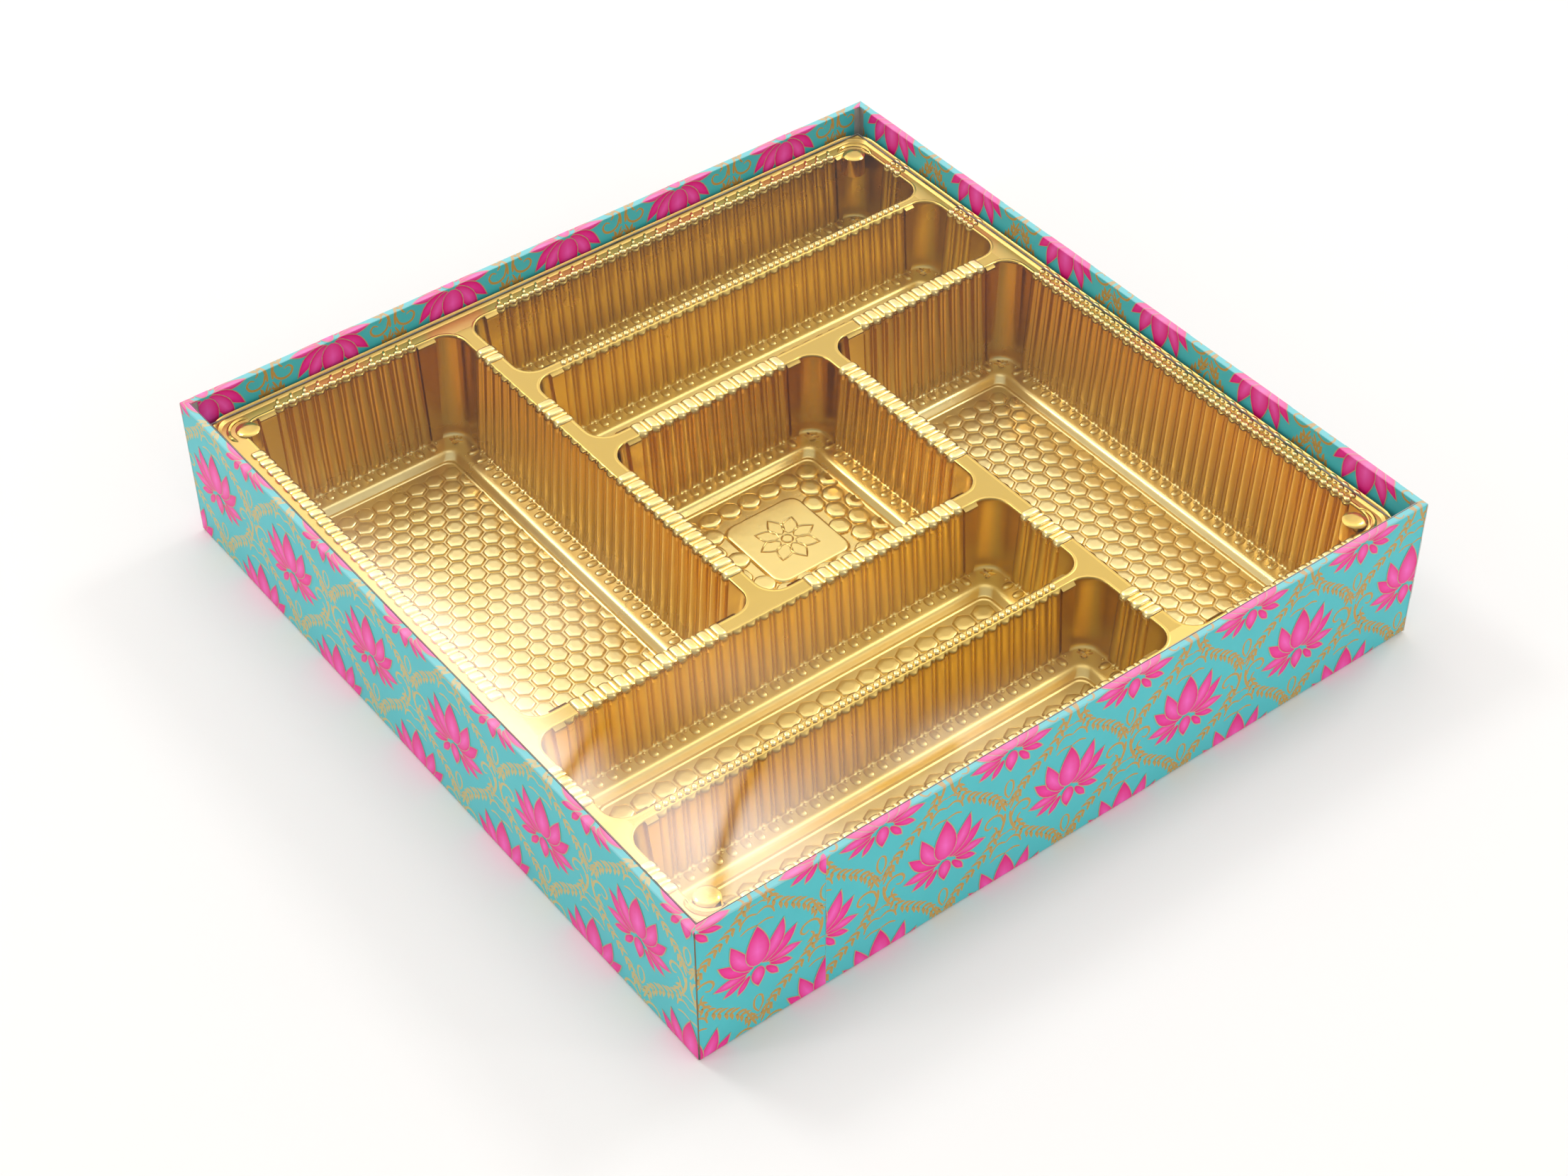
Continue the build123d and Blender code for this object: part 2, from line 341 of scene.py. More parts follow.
# Paler gold for beads, caps and creases is a painted highlight; darker gold on the outer rim is painted shade
BEAD_GOLD_PAINTED_HIGHLIGHT = gold_with_painted_light("gold_beads_painted_highlight", (0.88, 0.66, 0.25), (0.94, 0.74, 0.34), 0.24)
RIM_GOLD_PAINTED_SHADE = gold_with_painted_light("gold_rim_painted_shade", (0.74, 0.49, 0.14), (0.80, 0.54, 0.17), 0.40)
PRINT = printed_paper()
WHITE_PAPER = plain_paper("white_paper", (0.76, 0.75, 0.72), (0.86, 0.85, 0.83))
GREYBOARD = plain_paper("greyboard", (0.30, 0.28, 0.26), (0.47, 0.45, 0.42))
SHADED_BOARD = plain_paper("shaded_board", (0.05, 0.045, 0.04), (0.09, 0.08, 0.07))
KRAFT = plain_paper("kraft_tape", (0.42, 0.28, 0.15), (0.58, 0.42, 0.25), 0.6)
FILM = clear_film()
FILM_EDGE = film_edge()


# Plan geometry

ARC_STEPS = 7


def turned(middle, a, b, cosine, sine):
    """A place (a, b) in a turned frame, as a plan point."""
    return middle[0] + a * cosine - b * sine, middle[1] + a * sine + b * cosine


def centre_of(edges):
    """The middle of a rectangle."""
    return (edges[0] + edges[1]) / 2, (edges[2] + edges[3]) / 2


def circle(middle, radius, count):
    """Points round a circle."""
    turns = [2 * math.pi * k / count for k in range(count)]
    return [turned(middle, radius, 0, math.cos(turn), math.sin(turn)) for turn in turns]


def side_frames(edges, inset):
    """(cosine, sine, half length, distance) of a rectangle's sides: front, right, back, left."""
    half_x = (edges[1] - edges[0]) / 2 - inset
    half_y = (edges[3] - edges[2]) / 2 - inset
    return (1, 0, half_x, half_y), (0, 1, half_y, half_x), (-1, 0, half_x, half_y), (0, -1, half_y, half_x)


def corner_arc(along, across, radius, first, last):
    """Steps first to last round the corner at a side's end."""
    arc = []
    for step in range(first, last + 1):
        turn = math.radians(90 * step / ARC_STEPS)
        arc.append((along - radius + radius * math.sin(turn), -across + radius - radius * math.cos(turn)))
    return arc


def rounded_outline(edges, inset, radius):
    """Points round a rectangle with rounded corners."""
    points = []
    for c, s, along, across in side_frames(edges, inset):
        arc = corner_arc(along, across, radius, 0, ARC_STEPS)
        points += [turned(centre_of(edges), a, b, c, s) for a, b in arc]
    return points


def line_normal(points, i):
    """The unit normal of a broken line at one of its points."""
    (ax, ay), (bx, by) = points[max(i - 1, 0)], points[min(i + 1, len(points) - 1)]
    length = math.hypot(bx - ax, by - ay) or 1.0
    return -(by - ay) / length, (bx - ax) / length


def inside(point, loop):
    """Whether a plan point lies in a closed outline."""
    x, y = point[0], point[1]
    hit = False
    for (ax, ay), (bx, by) in zip(loop, [*loop[1:], loop[0]]):
        if (ay > y) != (by > y) and x < (bx - ax) * (y - ay) / (by - ay) + ax:
            hit = not hit
    return hit


# The tray's cups: walls, ribs and floors

CUP_SKIN = 0.4185
CUP_RADIUS = 6.5
DRAFT = 0.07
LEDGE_WIDTH = 6.3
BEVEL_WIDTH = 2.2
PANEL_STEP = 1.8
PANEL_RADIUS = 3.0
ROLL = 0.95

# Ribs along a wall; the smooth stretches beside them stand a little proud
RIB_PITCH = 4.6
RIB_PHASE = 0.4
RIB_END = 11.0
RIB_DEPTH = 0.9
SMALL_RIB_DEPTH = 0.5
SMOOTH_PROUD = 0.9
SMOOTH_LEAD = 0.05

# The main rib and the small rib between two main ribs: offset along the wall, share of the depth
MAIN_RIB = (
    (-1.62, 0), (-1.4, 0.42), (-1.0, 0.78), (-0.5, 0.95), (0, 1),
    (0.5, 0.95), (1.0, 0.78), (1.4, 0.42), (1.62, 0),
)
SMALL_RIB = ((-0.64, 0), (-0.4, 0.7), (0, 1), (0.4, 0.7), (0.64, 0))


# A cup's mouth: inset, drop, rib share, smooth share, corner radius over the cup's own
MOUTH = (
    (-ROLL, 0.0, 0, 0, ROLL), (-0.55, -0.10, 0, 0, 0.55), (-0.2, -0.05, 0, 0, 0.2), (0.0, 0.14, 0.1, 0.05, 0),
    (0.10, 0.42, 0.5, 0.5, 0), (0.14, 0.75, 0.85, 1.15, 0), (0.16, 1.05, 1, 1.25, 0), (0.18, 1.45, 1, 1.0, 0),
    (0.20, 2.2, 1, 1.0, 0),
)
# The foot of its walls: inset past the wall, height over the ledge, and the same shares and radius
FOOT = (
    (-0.15, 2.4, 1, 1, 0), (-0.05, 1.3, 0.9, 0.9, 0), (0.2, 0.55, 0.5, 0.5, -0.2),
    (0.7, 0.12, 0.12, 0.15, -0.5), (1.3, 0, 0, 0, -0.9),
)
# The bevel from the ledge to the floor's panel, and the panel's groove: inset past the ledge, drop,
# corner radius over the panel's own
PANEL_EDGE = (
    (-1.2, 0, 0.9), (-0.4, 0.06, 0.5), (0.44, 0.234, 0), (0.99, 0.648, 0), (1.54, 1.17, 0), (1.98, 1.62, 0),
    (BEVEL_WIDTH, PANEL_STEP, 0), (2.7, PANEL_STEP, 0), (2.9, PANEL_STEP - 0.14, 0),
    (3.15, PANEL_STEP - 0.14, 0), (3.35, PANEL_STEP, 0), (3.8, PANEL_STEP, -0.4),
)


def rib_centres(low, high):
    """Places of the main ribs along a wall, in step on every wall of the tray."""
    first = math.ceil((low + RIB_END - RIB_PHASE) / RIB_PITCH)
    last = math.floor((high - RIB_END - RIB_PHASE) / RIB_PITCH)
    return [RIB_PHASE + k * RIB_PITCH for k in range(first, last + 1)]


def rib_places(low, high):
    """(place, whether it is a main rib) along a wall: main ribs with a small one between each two."""
    centres = rib_centres(low, high)
    places = [(centres[0], True)]
    for centre in centres[1:]:
        places += [(centre - RIB_PITCH / 2, False), (centre, True)]
    return places


def wall_columns(low, high):
    """(place, rib height) for each column of the fluted stretch of a wall."""
    columns = []
    for centre, main in rib_places(low, high):
        section, depth = (MAIN_RIB, RIB_DEPTH) if main else (SMALL_RIB, SMALL_RIB_DEPTH)
        columns += [(centre + off, share * depth) for off, share in section]
    return columns


def cup_profile(depth):
    """(inset, drop, rib share, smooth share, corner radius) from the flange to the floor."""
    wall = depth * DRAFT
    rows = [(inset, drop, rib, smooth, CUP_RADIUS + rounder) for inset, drop, rib, smooth, rounder in MOUTH]
    rows += [(wall * share, depth * share, 1, 1, CUP_RADIUS) for share in (0.3, 0.6)]
    for inset, up, rib, smooth, rounder in FOOT:
        rows.append((wall + inset, depth - up, rib, smooth, CUP_RADIUS + rounder))
    for inset, down, rounder in PANEL_EDGE:
        rows.append((wall + LEDGE_WIDTH + inset, depth + down, 0, 0, PANEL_RADIUS + rounder))
    return rows


def wall_run(columns, room, rib_share, proud):
    """(place, way in) along one wall: its ribs, and the smooth stretches that stand proud beside them."""
    squeeze = min(1.0, (room - 0.5) / max(abs(columns[0][0]), abs(columns[-1][0])))
    first, last = columns[0][0] * squeeze, columns[-1][0] * squeeze
    lead = SMOOTH_LEAD
    run = [(-room, 0), (-room + lead, proud), ((-room + first) / 2, proud), (first - lead, proud)]
    run += [(place * squeeze, height * rib_share) for place, height in columns]
    return run + [(last + lead, proud), ((room + last) / 2, proud), (room - lead, proud), (room, 0)]


def cup_row(edges, columns_of, inset, drop, rib_share, smooth_share, radius):
    """One ring of points round a cup; columns_of is for its walls along X and its walls along Y."""
    middle = centre_of(edges)
    ring = []
    for quarter, (c, s, along, across) in enumerate(side_frames(edges, inset)):
        axis = quarter % 2
        columns = sorted(((place - middle[axis]) * (c + s), height) for place, height in columns_of[axis])
        proud = 0.0 if axis else smooth_share * SMOOTH_PROUD
        local = [(a, into - across) for a, into in wall_run(columns, along - radius, rib_share, proud)]
        local += corner_arc(along, across, radius, 1, ARC_STEPS - 1)
        ring += [(*turned(middle, a, b, c, s), FLANGE_Z - drop) for a, b in local]
    return ring


# Rings of a bump: share of its half width, share of its height
DOME_RINGS = ((1.0, -0.15), (0.97, 0.25), (0.86, 0.6), (0.62, 0.88), (0.3, 0.98))
DOME_SEGMENTS = 10
CELL_RINGS = ((1.0, -0.05), (0.96, 0.5), (0.89, 0.85), (0.77, 0.98), (0.45, 1.05))
CELL_SIDES = 6
CELL_SEGMENTS = 18


def dome(shell, middle, z, long_half, short_half, height, degrees=0.0, power=2.0):
    """A low rounded bump on a flat, oval in plan."""
    c, s = math.cos(math.radians(degrees)), math.sin(math.radians(degrees))
    rings = []
    for share, lift in DOME_RINGS:
        ring = []
        for k in range(DOME_SEGMENTS):
            angle = 2 * math.pi * k / DOME_SEGMENTS
            a, b = math.cos(angle), math.sin(angle)
            grow = share * (abs(a) ** power + abs(b) ** power) ** (-1 / power)
            place = turned(middle, a * grow * long_half, b * grow * short_half, c, s)
            ring.append((*place, z + lift * height))
        rings.append(ring)
    shell.capped(rings)


# The tongue and the dot: offset along the wall, place on the ledge, half length and width, height, squareness
TONGUE_AND_DOT = ((0.0, 2.9, 2.0, 1.3, 0.6, 2.6), (RIB_PITCH / 2, 1.5, 0.7, 0.5, 0.5, 2.0))


def foot_tongues(shell, edges, depth):
    """A rounded tongue on the ledge at the foot of each main rib, with a dot beside it."""
    wall = depth * DRAFT
    for axis in (0, 1):
        across = edges[2:] if axis == 0 else edges[:2]
        for centre in rib_centres(*edges[axis * 2:axis * 2 + 2]):
            for edge, sign in zip(across, (1, -1)):
                for along, into, length, width, height, power in TONGUE_AND_DOT:
                    spot = (centre + along, edge + sign * (wall + into))
                    halves = (width, length)
                    if axis == 1:
                        spot, halves = spot[::-1], halves[::-1]
                    dome(shell, spot, FLANGE_Z - depth, *halves, height, power=power)


def cell(shell, x, y, z, radius, height, limits, wobble, straight):
    """One domed floor cell, cut off by the panel's edge."""
    low_x, high_x, low_y, high_y = limits
    turn = random.uniform(-wobble, wobble)
    stretch = 1 + random.uniform(-wobble, wobble) * 0.5
    rings = []
    for share, lift in CELL_RINGS:
        ring = []
        for k in range(CELL_SEGMENTS):
            angle = 2 * math.pi * k / CELL_SEGMENTS
            near = angle % (2 * math.pi / CELL_SIDES) - math.pi / CELL_SIDES
            flat = math.cos(math.pi / CELL_SIDES) / math.cos(near)
            reach = radius * share * (flat * straight + (1 - straight) * 0.95)
            way = angle + math.pi / 2 + turn
            px, py = x + reach * math.cos(way) * stretch, y + reach * math.sin(way) / stretch
            cx, cy = min(max(px, low_x), high_x), min(max(py, low_y), high_y)
            cut = cx != px or cy != py
            ring.append((cx, cy, z + (min(lift, 0.15) if cut else lift) * height))
        rings.append(ring)
    shell.capped(rings)


CELL_GAP = 0.55
CELL_MARGIN = 1.35
PEBBLE_STRAIGHT, CELL_STRAIGHT = 0.35, 0.85


def panel_cells(shell, edges, depth, pitch, height, wobble, plate):
    """Centred rows of six-sided cells over a floor panel, clear of its raised plate."""
    inset = depth * DRAFT + LEDGE_WIDTH + BEVEL_WIDTH + CELL_MARGIN
    limits = edges[0] + inset, edges[1] - inset, edges[2] + inset, edges[3] - inset
    x0, x1, y0, y1 = limits
    row_step = pitch * math.sqrt(3) / 2
    radius = (pitch - CELL_GAP) / math.sqrt(3)
    row_count = max(int((y1 - y0) / row_step), 1)
    column_count = math.ceil((x1 - x0) / pitch) + 1
    for row in range(row_count):
        y = (y0 + y1) / 2 + (row - (row_count - 1) / 2) * row_step
        for column in range(column_count + 1):
            x = (x0 + x1) / 2 + (column - column_count / 2 + 0.5 * (row % 2)) * pitch
            on_panel = x0 - radius * 0.3 < x < x1 + radius * 0.3
            if on_panel and not (plate and in_rectangle(x, y, plate, radius * 0.55)):
                straight = PEBBLE_STRAIGHT if plate else CELL_STRAIGHT
                cell(shell, x, y, FLANGE_Z - depth - PANEL_STEP, radius, height, limits, wobble, straight)


def in_rectangle(x, y, edges, margin):
    """Whether a plan point lies in a rectangle or within a margin round it."""
    return edges[0] - margin < x < edges[1] + margin and edges[2] - margin < y < edges[3] + margin


# A ridge's section: share of its half width, share of its height
RIDGE_SECTION = ((-1, -0.1), (-0.75, 0.55), (0, 1), (0.75, 0.55), (1, -0.1))
RIDGE_TAPER = 0.35


def ridge_line(shell, points, half_width, height, z):
    """A thin rounded ridge along a line of plan points."""
    rows = []
    for i, (x, y) in enumerate(points):
        nx, ny = line_normal(points, i)
        taper = RIDGE_TAPER if i in (0, len(points) - 1) else 1.0
        row = []
        for w, h in RIDGE_SECTION:
            off = w * half_width * taper
            row.append((x + nx * off, y + ny * off, z + h * height * taper))
        rows.append(row)
    shell.strip(rows, closed=False)


# The centre cup's raised plate, and its rosette
PLATE_SIZE = (27.5, 29.5)
PLATE_SHIFT = (-1.5, 1.5)
PLATE_HEIGHT = 0.9
PLATE_RADIUS = 4.0
PLATE_RINGS = ((-0.35, 0.0, 0.35), (-0.1, 0.35, 0.0), (0.15, 0.78, 0.0), (0.5, 0.98, 0.0), (0.9, 1.0, -0.4))
PETAL_COUNT = 8
PETAL_START, PETAL_END = 2.4, 9.6
PETAL_HALF_WIDTH = 2.3
PETAL_STEPS = 16
BUTTON_RADIUS = 1.7
BUTTON_STEPS = 20
PETAL_LINE, BUTTON_LINE, EMBOSSING = 0.32, 0.3, 0.3


def plate_edges(edges):
    """The raised plate's low and high X and Y on the centre cup's floor."""
    middle = centre_of(edges)
    mid_x, mid_y = middle[0] + PLATE_SHIFT[0], middle[1] + PLATE_SHIFT[1]
    half_x, half_y = PLATE_SIZE[0] / 2, PLATE_SIZE[1] / 2
    return mid_x - half_x, mid_x + half_x, mid_y - half_y, mid_y + half_y


def centre_plate(shell, plate, depth):
    """The raised plate with an embossed eight-petal rosette."""
    z = FLANGE_Z - depth - PANEL_STEP
    rings = []
    for inset, lift, rounder in PLATE_RINGS:
        outline = rounded_outline(plate, inset, PLATE_RADIUS + rounder)
        rings.append([(x, y, z + lift * PLATE_HEIGHT) for x, y in outline])
    shell.capped(rings)
    middle, top = centre_of(plate), z + PLATE_HEIGHT
    for number in range(PETAL_COUNT):
        turn = 2 * math.pi * number / PETAL_COUNT
        line = []
        for step in range(PETAL_STEPS + 1):
            run = 1 - abs(2 * step / PETAL_STEPS - 1)
            side = 1 if 2 * step <= PETAL_STEPS else -1
            a = PETAL_START + (PETAL_END - PETAL_START) * run
            b = side * PETAL_HALF_WIDTH * math.sin(math.pi * run ** 0.8) if run < 1 else 0.0
            line.append(turned(middle, a, b, math.cos(turn), math.sin(turn)))
        ridge_line(shell, line, PETAL_LINE, EMBOSSING, top)
    button = circle(middle, BUTTON_RADIUS, BUTTON_STEPS)
    ridge_line(shell, [*button, button[0]], BUTTON_LINE, EMBOSSING, top)


# Creases from a floor's corner: degrees, length outward
CREASES = ((15, 3.3), (75, 3.2), (45, 3.0), (-25, 2.8), (115, 2.8))
CREASE_CORNER = 4.6
CREASE_JITTER = 9
CREASE_INWARD = 1.2
CREASE_HALF_WIDTH, CREASE_HEIGHT = 0.5, 1.2


def corner_creases(shell, edges, depth):
    """Star-like creases where the stretched sheet bunches at the floor's corners."""
    x0, x1, y0, y1 = edges
    inset = depth * DRAFT + CREASE_CORNER
    for x, sx in ((x0 + inset, 1), (x1 - inset, -1)):
        for y, sy in ((y0 + inset, 1), (y1 - inset, -1)):
            for degrees, length in CREASES:
                turn = math.radians(degrees + random.uniform(-CREASE_JITTER, CREASE_JITTER))
                outward = -length * random.uniform(0.8, 1.0)
                c, s = sx * math.cos(turn), sy * math.sin(turn)
                runs = (CREASE_INWARD, (CREASE_INWARD + outward) / 2, outward)
                line = [(x + run * c, y + run * s) for run in runs]
                ridge_line(shell, line, CREASE_HALF_WIDTH, CREASE_HEIGHT, FLANGE_Z - depth)


# Each cup's floor cells: pitch, height and unevenness; and the sheet's look on its walls, with its painted
# shade
CUPS = {
    "cup_left_large": (6.2, 0.62, 0.03, GOLD),
    "cup_right_large": (6.2, 0.62, 0.03, GOLD),
    "cup_centre": (7.3, 0.85, 0.16, GOLD),
    "cup_back_long": (7.0, 0.6, 0.08, GOLD_PAINTED_DEEP_SHADE),
    "cup_inner_back_long": (7.0, 0.6, 0.08, GOLD_PAINTED_SHADE),
    "cup_inner_front_long": (7.0, 0.6, 0.08, GOLD_PAINTED_LIGHTER),
    "cup_front_long": (7.0, 0.6, 0.08, GOLD_PAINTED_SHADE),
}
PLATE_CUP = "cup_centre"


def cup_edges(name):
    """A cup's opening at the flange: low and high X, low and high Y."""
    low, high = node_box(name)
    return low.x + CUP_SKIN, high.x - CUP_SKIN, low.y + CUP_SKIN, high.y - CUP_SKIN


EDGES = {name: cup_edges(name) for name in CUPS}


def make_cup(name):
    """One formed cup with its ribs, foot tongues, floor cells and creases."""
    pitch, height, wobble, look = CUPS[name]
    edges = EDGES[name]
    depth = FLANGE_Z - (node_box(name)[0].z + SHEET + PANEL_STEP)
    columns_of = (wall_columns(edges[0], edges[1]), wall_columns(edges[2], edges[3]))
    shell = Shell()
    shell.capped([cup_row(edges, columns_of, *row) for row in cup_profile(depth)])
    foot_tongues(shell, edges, depth)
    plate = plate_edges(edges) if name == PLATE_CUP else None
    panel_cells(shell, edges, depth, pitch, height, wobble, plate)
    if plate:
        centre_plate(shell, plate, depth)
    plain = len(shell.faces)
    corner_creases(shell, edges, depth)
    shell.use_slot(plain, 1)
    made = shell.make("tray_" + name, [look, BEAD_GOLD_PAINTED_HIGHLIGHT])
    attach(made, "tray")
    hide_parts(name)


# The tray's flange and dividers

# Cap of a main rib and of a small rib over a divider: offset along it, drop below the crest
MAIN_CAP = (
    (-1.6, 0.8), (-1.45, 0.38), (-1.1, 0.13), (-0.55, 0.03), (0, 0),
    (0.55, 0.03), (1.1, 0.13), (1.45, 0.38), (1.6, 0.8),
)
SMALL_CAP = ((-0.62, 0.55), (-0.45, 0.16), (0, 0), (0.45, 0.16), (0.62, 0.55))

# For main and small ribs: the cap's section, its overhang in the cup, its height over a divider,
# and its height and length as a finger on the flange
CAP_STYLES = {True: (MAIN_CAP, 0.95, 0.78, 0.75, 4.0), False: (SMALL_CAP, 0.55, 0.45, 0.5, 3.5)}

# Beads beside a right edge, which runs along Y, and beside a back edge, at main and at small ribs:
# offset along the edge, distance from it, half length, half width, height, degrees
BEADS = {
    "y": (
        ((0, 0.4, 1.45, 1.2, 0.8, 0), (0, 2.6, 1.25, 1.1, 0.78, 0), (0, 4.4, 1.7, 0.9, 0.78, 0)),
        ((0, 0.4, 1.1, 1.05, 0.7, 0), (0, 2.5, 0.8, 0.8, 0.65, 0)),
    ),
    "x": (
        ((0, 0.55, 1.55, 1.25, 0.8, -18.0), (0.9, 2.6, 1.6, 0.7, 0.75, 62.0)),
        ((0, 0.5, 1.1, 0.9, 0.7, -25.0),),
    ),
}


def cap(shell, axis, centre, crest, section):
    """A rib's cap: a section swept along a crest line of (across, z) points."""
    rows = []
    for i, (a, z) in enumerate(crest):
        na, nz = line_normal(crest, i)
        row = []
        for off, drop in section:
            across, height, along = a - na * drop, z - nz * drop, centre + off
            row.append((across, along, height) if axis == "y" else (along, across, height))
        rows.append(row)
    shell.strip(rows, closed=False)
    shell.face(rows[0])
    shell.face(rows[-1])


def crest_start(lift, overhang):
    """How a crest line climbs a cup's wall and bends over its edge: (across, z) from the edge."""
    return [
        (-overhang - 0.05, -2.3), (-overhang, -1.0), (-overhang * 0.8, -0.35), (-overhang * 0.35, 0.2),
        (0.35, lift * 0.85), (1.0, lift),
    ]


def ribbed_divider(shell, axis, a0, a1, low, high):
    """Caps across a divider, from cup wall to cup wall."""
    for centre, main in rib_places(low, high):
        section, overhang, lift, _, _ = CAP_STYLES[main]
        start = crest_start(lift, overhang)
        crest = [(a0 + a, FLANGE_Z + z) for a, z in start]
        crest += [(a1 - a, FLANGE_Z + z) for a, z in reversed(start)]
        cap(shell, axis, centre, crest, section)


def rope_divider(shell, a0, a1, low, high):
    """A narrow divider's twisted edge: slanted beads, large and small in turn."""
    for centre, main in rib_places(low, high):
        short_by, half_width, height = (0.25, 1.05, 0.8) if main else (0.4, 0.9, 0.7)
        middle = (centre, (a0 + a1) / 2)
        dome(shell, middle, FLANGE_Z, (a1 - a0) / 2 - short_by, half_width, height, 60.0, 2.2)


def beads_beside(shell, axis, edge, low, high):
    """Rows of beads on the flange beside a cup's right or back edge."""
    for centre, main in rib_places(low, high):
        for along, out, long_half, short_half, height, degrees in BEADS[axis][0 if main else 1]:
            middle, turn = (centre + along, edge + out), degrees
            if axis == "y":
                middle, turn = middle[::-1], 90.0 + degrees
            dome(shell, middle, FLANGE_Z, long_half, short_half, height, turn)


def fingers_beside(shell, axis, edge, low, high):
    """Caps from a cup's left or front edge a short way over the flange."""
    for centre, main in rib_places(low, high):
        section, overhang, _, lift, reach = CAP_STYLES[main]
        run = crest_start(lift, overhang) + [(reach - 0.6, lift), (reach - 0.15, lift * 0.6), (reach, 0.0)]
        cap(shell, axis, centre, [(edge - a, FLANGE_Z + z) for a, z in reversed(run)], section)


WIDEST_DIVIDER = 6.0
NARROW_DIVIDER = 4.0
OUTER_EDGE = 110.0


def make_dividers(shell):
    """The relief on every divider, and on the flange beside the outer cups."""
    spans = [(edges[:2], edges[2:]) for edges in EDGES.values()]
    for cup in spans:
        for across, axis in enumerate("yx"):
            (near, far), (low, high) = cup[across], cup[1 - across]
            for other in spans:
                edge, reach = other[across][0], other[1 - across]
                shared = max(low, reach[0]), min(high, reach[1])
                if not 0 < edge - far < WIDEST_DIVIDER or shared[0] > shared[1]:
                    continue
                if edge - far < NARROW_DIVIDER:
                    rope_divider(shell, far, edge, *shared)
                else:
                    ribbed_divider(shell, axis, far, edge, *shared)
            if near < -OUTER_EDGE:
                fingers_beside(shell, axis, near, low, high)
            if far > OUTER_EDGE:
                beads_beside(shell, axis, far, low, high)


# The flange's outer edge: inset from the outside, height over the flange
LIP_PROFILE = (
    (3.4, 0), (3.0, 0.10), (2.65, 0.50), (2.3, 0.70), (1.95, 0.52), (1.65, 0.14), (1.35, 0.14),
    (1.05, 0.55), (0.7, 0.74), (0.35, 0.52), (0.08, 0.1), (0.0, -0.2), (0.0, -0.45),
)
LIP_RADIUS = 8.0
RIM_BAND = 114.0


def flat_web(shell, outer, holes):
    """The flat of the flange and dividers between an outline and the cups' mouths."""
    points, edges = [], []
    for loop in (outer, *holes):
        start = len(points)
        points += [Vector(p) for p in loop]
        edges += [(start + i, start + (i + 1) % len(loop)) for i in range(len(loop))]
    verts, _, faces, *_ = delaunay_2d_cdt(points, edges, [], 1, 1e-6)
    kept = []
    for face in faces:
        centre = sum((verts[i] for i in face), Vector((0, 0))) / len(face)
        if not any(inside(centre, hole) for hole in holes) and inside(centre, outer):
            kept.append(tuple(face))
    shell.add([(v.x, v.y, FLANGE_Z) for v in verts], kept)


def make_web():
    """The flat flange and dividers, their relief, the double lip and the corner knobs."""
    square = (-WEB_HALF, WEB_HALF, -WEB_HALF, WEB_HALF)
    inner_inset = LIP_PROFILE[0][0]
    outer = rounded_outline(square, inner_inset, LIP_RADIUS - inner_inset)
    shell = Shell()
    flat_web(shell, outer, [rounded_outline(EDGES[name], -ROLL, CUP_RADIUS + ROLL) for name in CUPS])
    rows = [[(x, y, FLANGE_Z) for x, y in outer]]
    for inset, lift in LIP_PROFILE[1:]:
        outline = rounded_outline(square, inset, LIP_RADIUS - inset * 0.8)
        rows.append([(x, y, FLANGE_Z + lift) for x, y in outline])
    shell.strip(rows)
    shell.slots = [2 if shell.outward(face) > RIM_BAND else 0 for face in shell.faces]
    plain = len(shell.faces)
    make_dividers(shell)
    shell.use_slot(plain, 1)
    make_knobs(shell)
    made = shell.make("tray_flange", [GOLD, BEAD_GOLD_PAINTED_HIGHLIGHT, RIM_GOLD_PAINTED_SHADE])
    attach(made, "tray")
    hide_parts("tray_web")


KNOB_INSET = 10.2
KNOB_RADIUS = 3.9
KNOB_SEGMENTS = 20
# Rings of a knob: share of its radius, height over the flange
KNOB_RINGS = ((1.0, -6.0), (1.0, -1.6), (0.93, 0.3), (0.78, 0.62), (0.55, 0.78), (0.25, 0.8))
ARC_RADIUS = 5.6
ARC_RIDGE_STEPS = 12


def make_knobs(shell):
    """A round knob in each corner, with an arc ridge outside it."""
    for sx in (-1, 1):
        for sy in (-1, 1):
            x, y = sx * (WEB_HALF - KNOB_INSET), sy * (WEB_HALF - KNOB_INSET)
            rings = []
            for share, height in KNOB_RINGS:
                ring = circle((x, y), KNOB_RADIUS * share, KNOB_SEGMENTS)
                rings.append([(px, py, FLANGE_Z + height) for px, py in ring])
            shell.capped(rings)
            turns = [math.radians(-30 + 150 * step / ARC_RIDGE_STEPS) for step in range(ARC_RIDGE_STEPS + 1)]
            bend = [(x + sx * ARC_RADIUS * math.cos(t), y + sy * ARC_RADIUS * math.sin(t)) for t in turns]
            ridge_line(shell, bend, 0.75, 0.6, FLANGE_Z)


# The print: lotuses in a scrolled trellis, laid out flat and then folded round the boards

COLUMN_PITCH = 42.6
ROW_PITCH = 27.5
TRELLIS_RISE = 0.8
LAYER = 0.004
INK_DEPTH = 0.13
PAPER_DEPTH = 0.10
INK_SPREAD = 1.05

# Petals of one lotus, right half: root, tip, width, fullest place along it, light colour
CENTRE_PETAL = ((0, -3.3), (0, 11.3), 7.4, 0.36, PINK_LIGHT)
DROP_PETAL = ((0, -4.2), (0, -11.4), 4.2, 0.42, PINK_LIGHT)
SIDE_PETALS = (
    ((1.6, -3.6), (8.1, 8.9), 4.7, 0.46, PINK_LIGHT),
    ((2.2, -3.9), (12.2, 3.8), 3.9, 0.50, PINK_SIDE_LIGHT),
    ((3.4, -4.5), (13.6, -4.4), 3.1, 0.55, PINK_LIGHT),
    ((3.8, -5.4), (10.6, -8.7), 2.2, 0.62, PINK_SIDE_LIGHT),
    ((2.6, -5.9), (6.3, -10.8), 2.1, 0.62, PINK_SIDE_LIGHT),
)
OUTLINE_WIDTH = 0.24
PETAL_BEND = 0.24
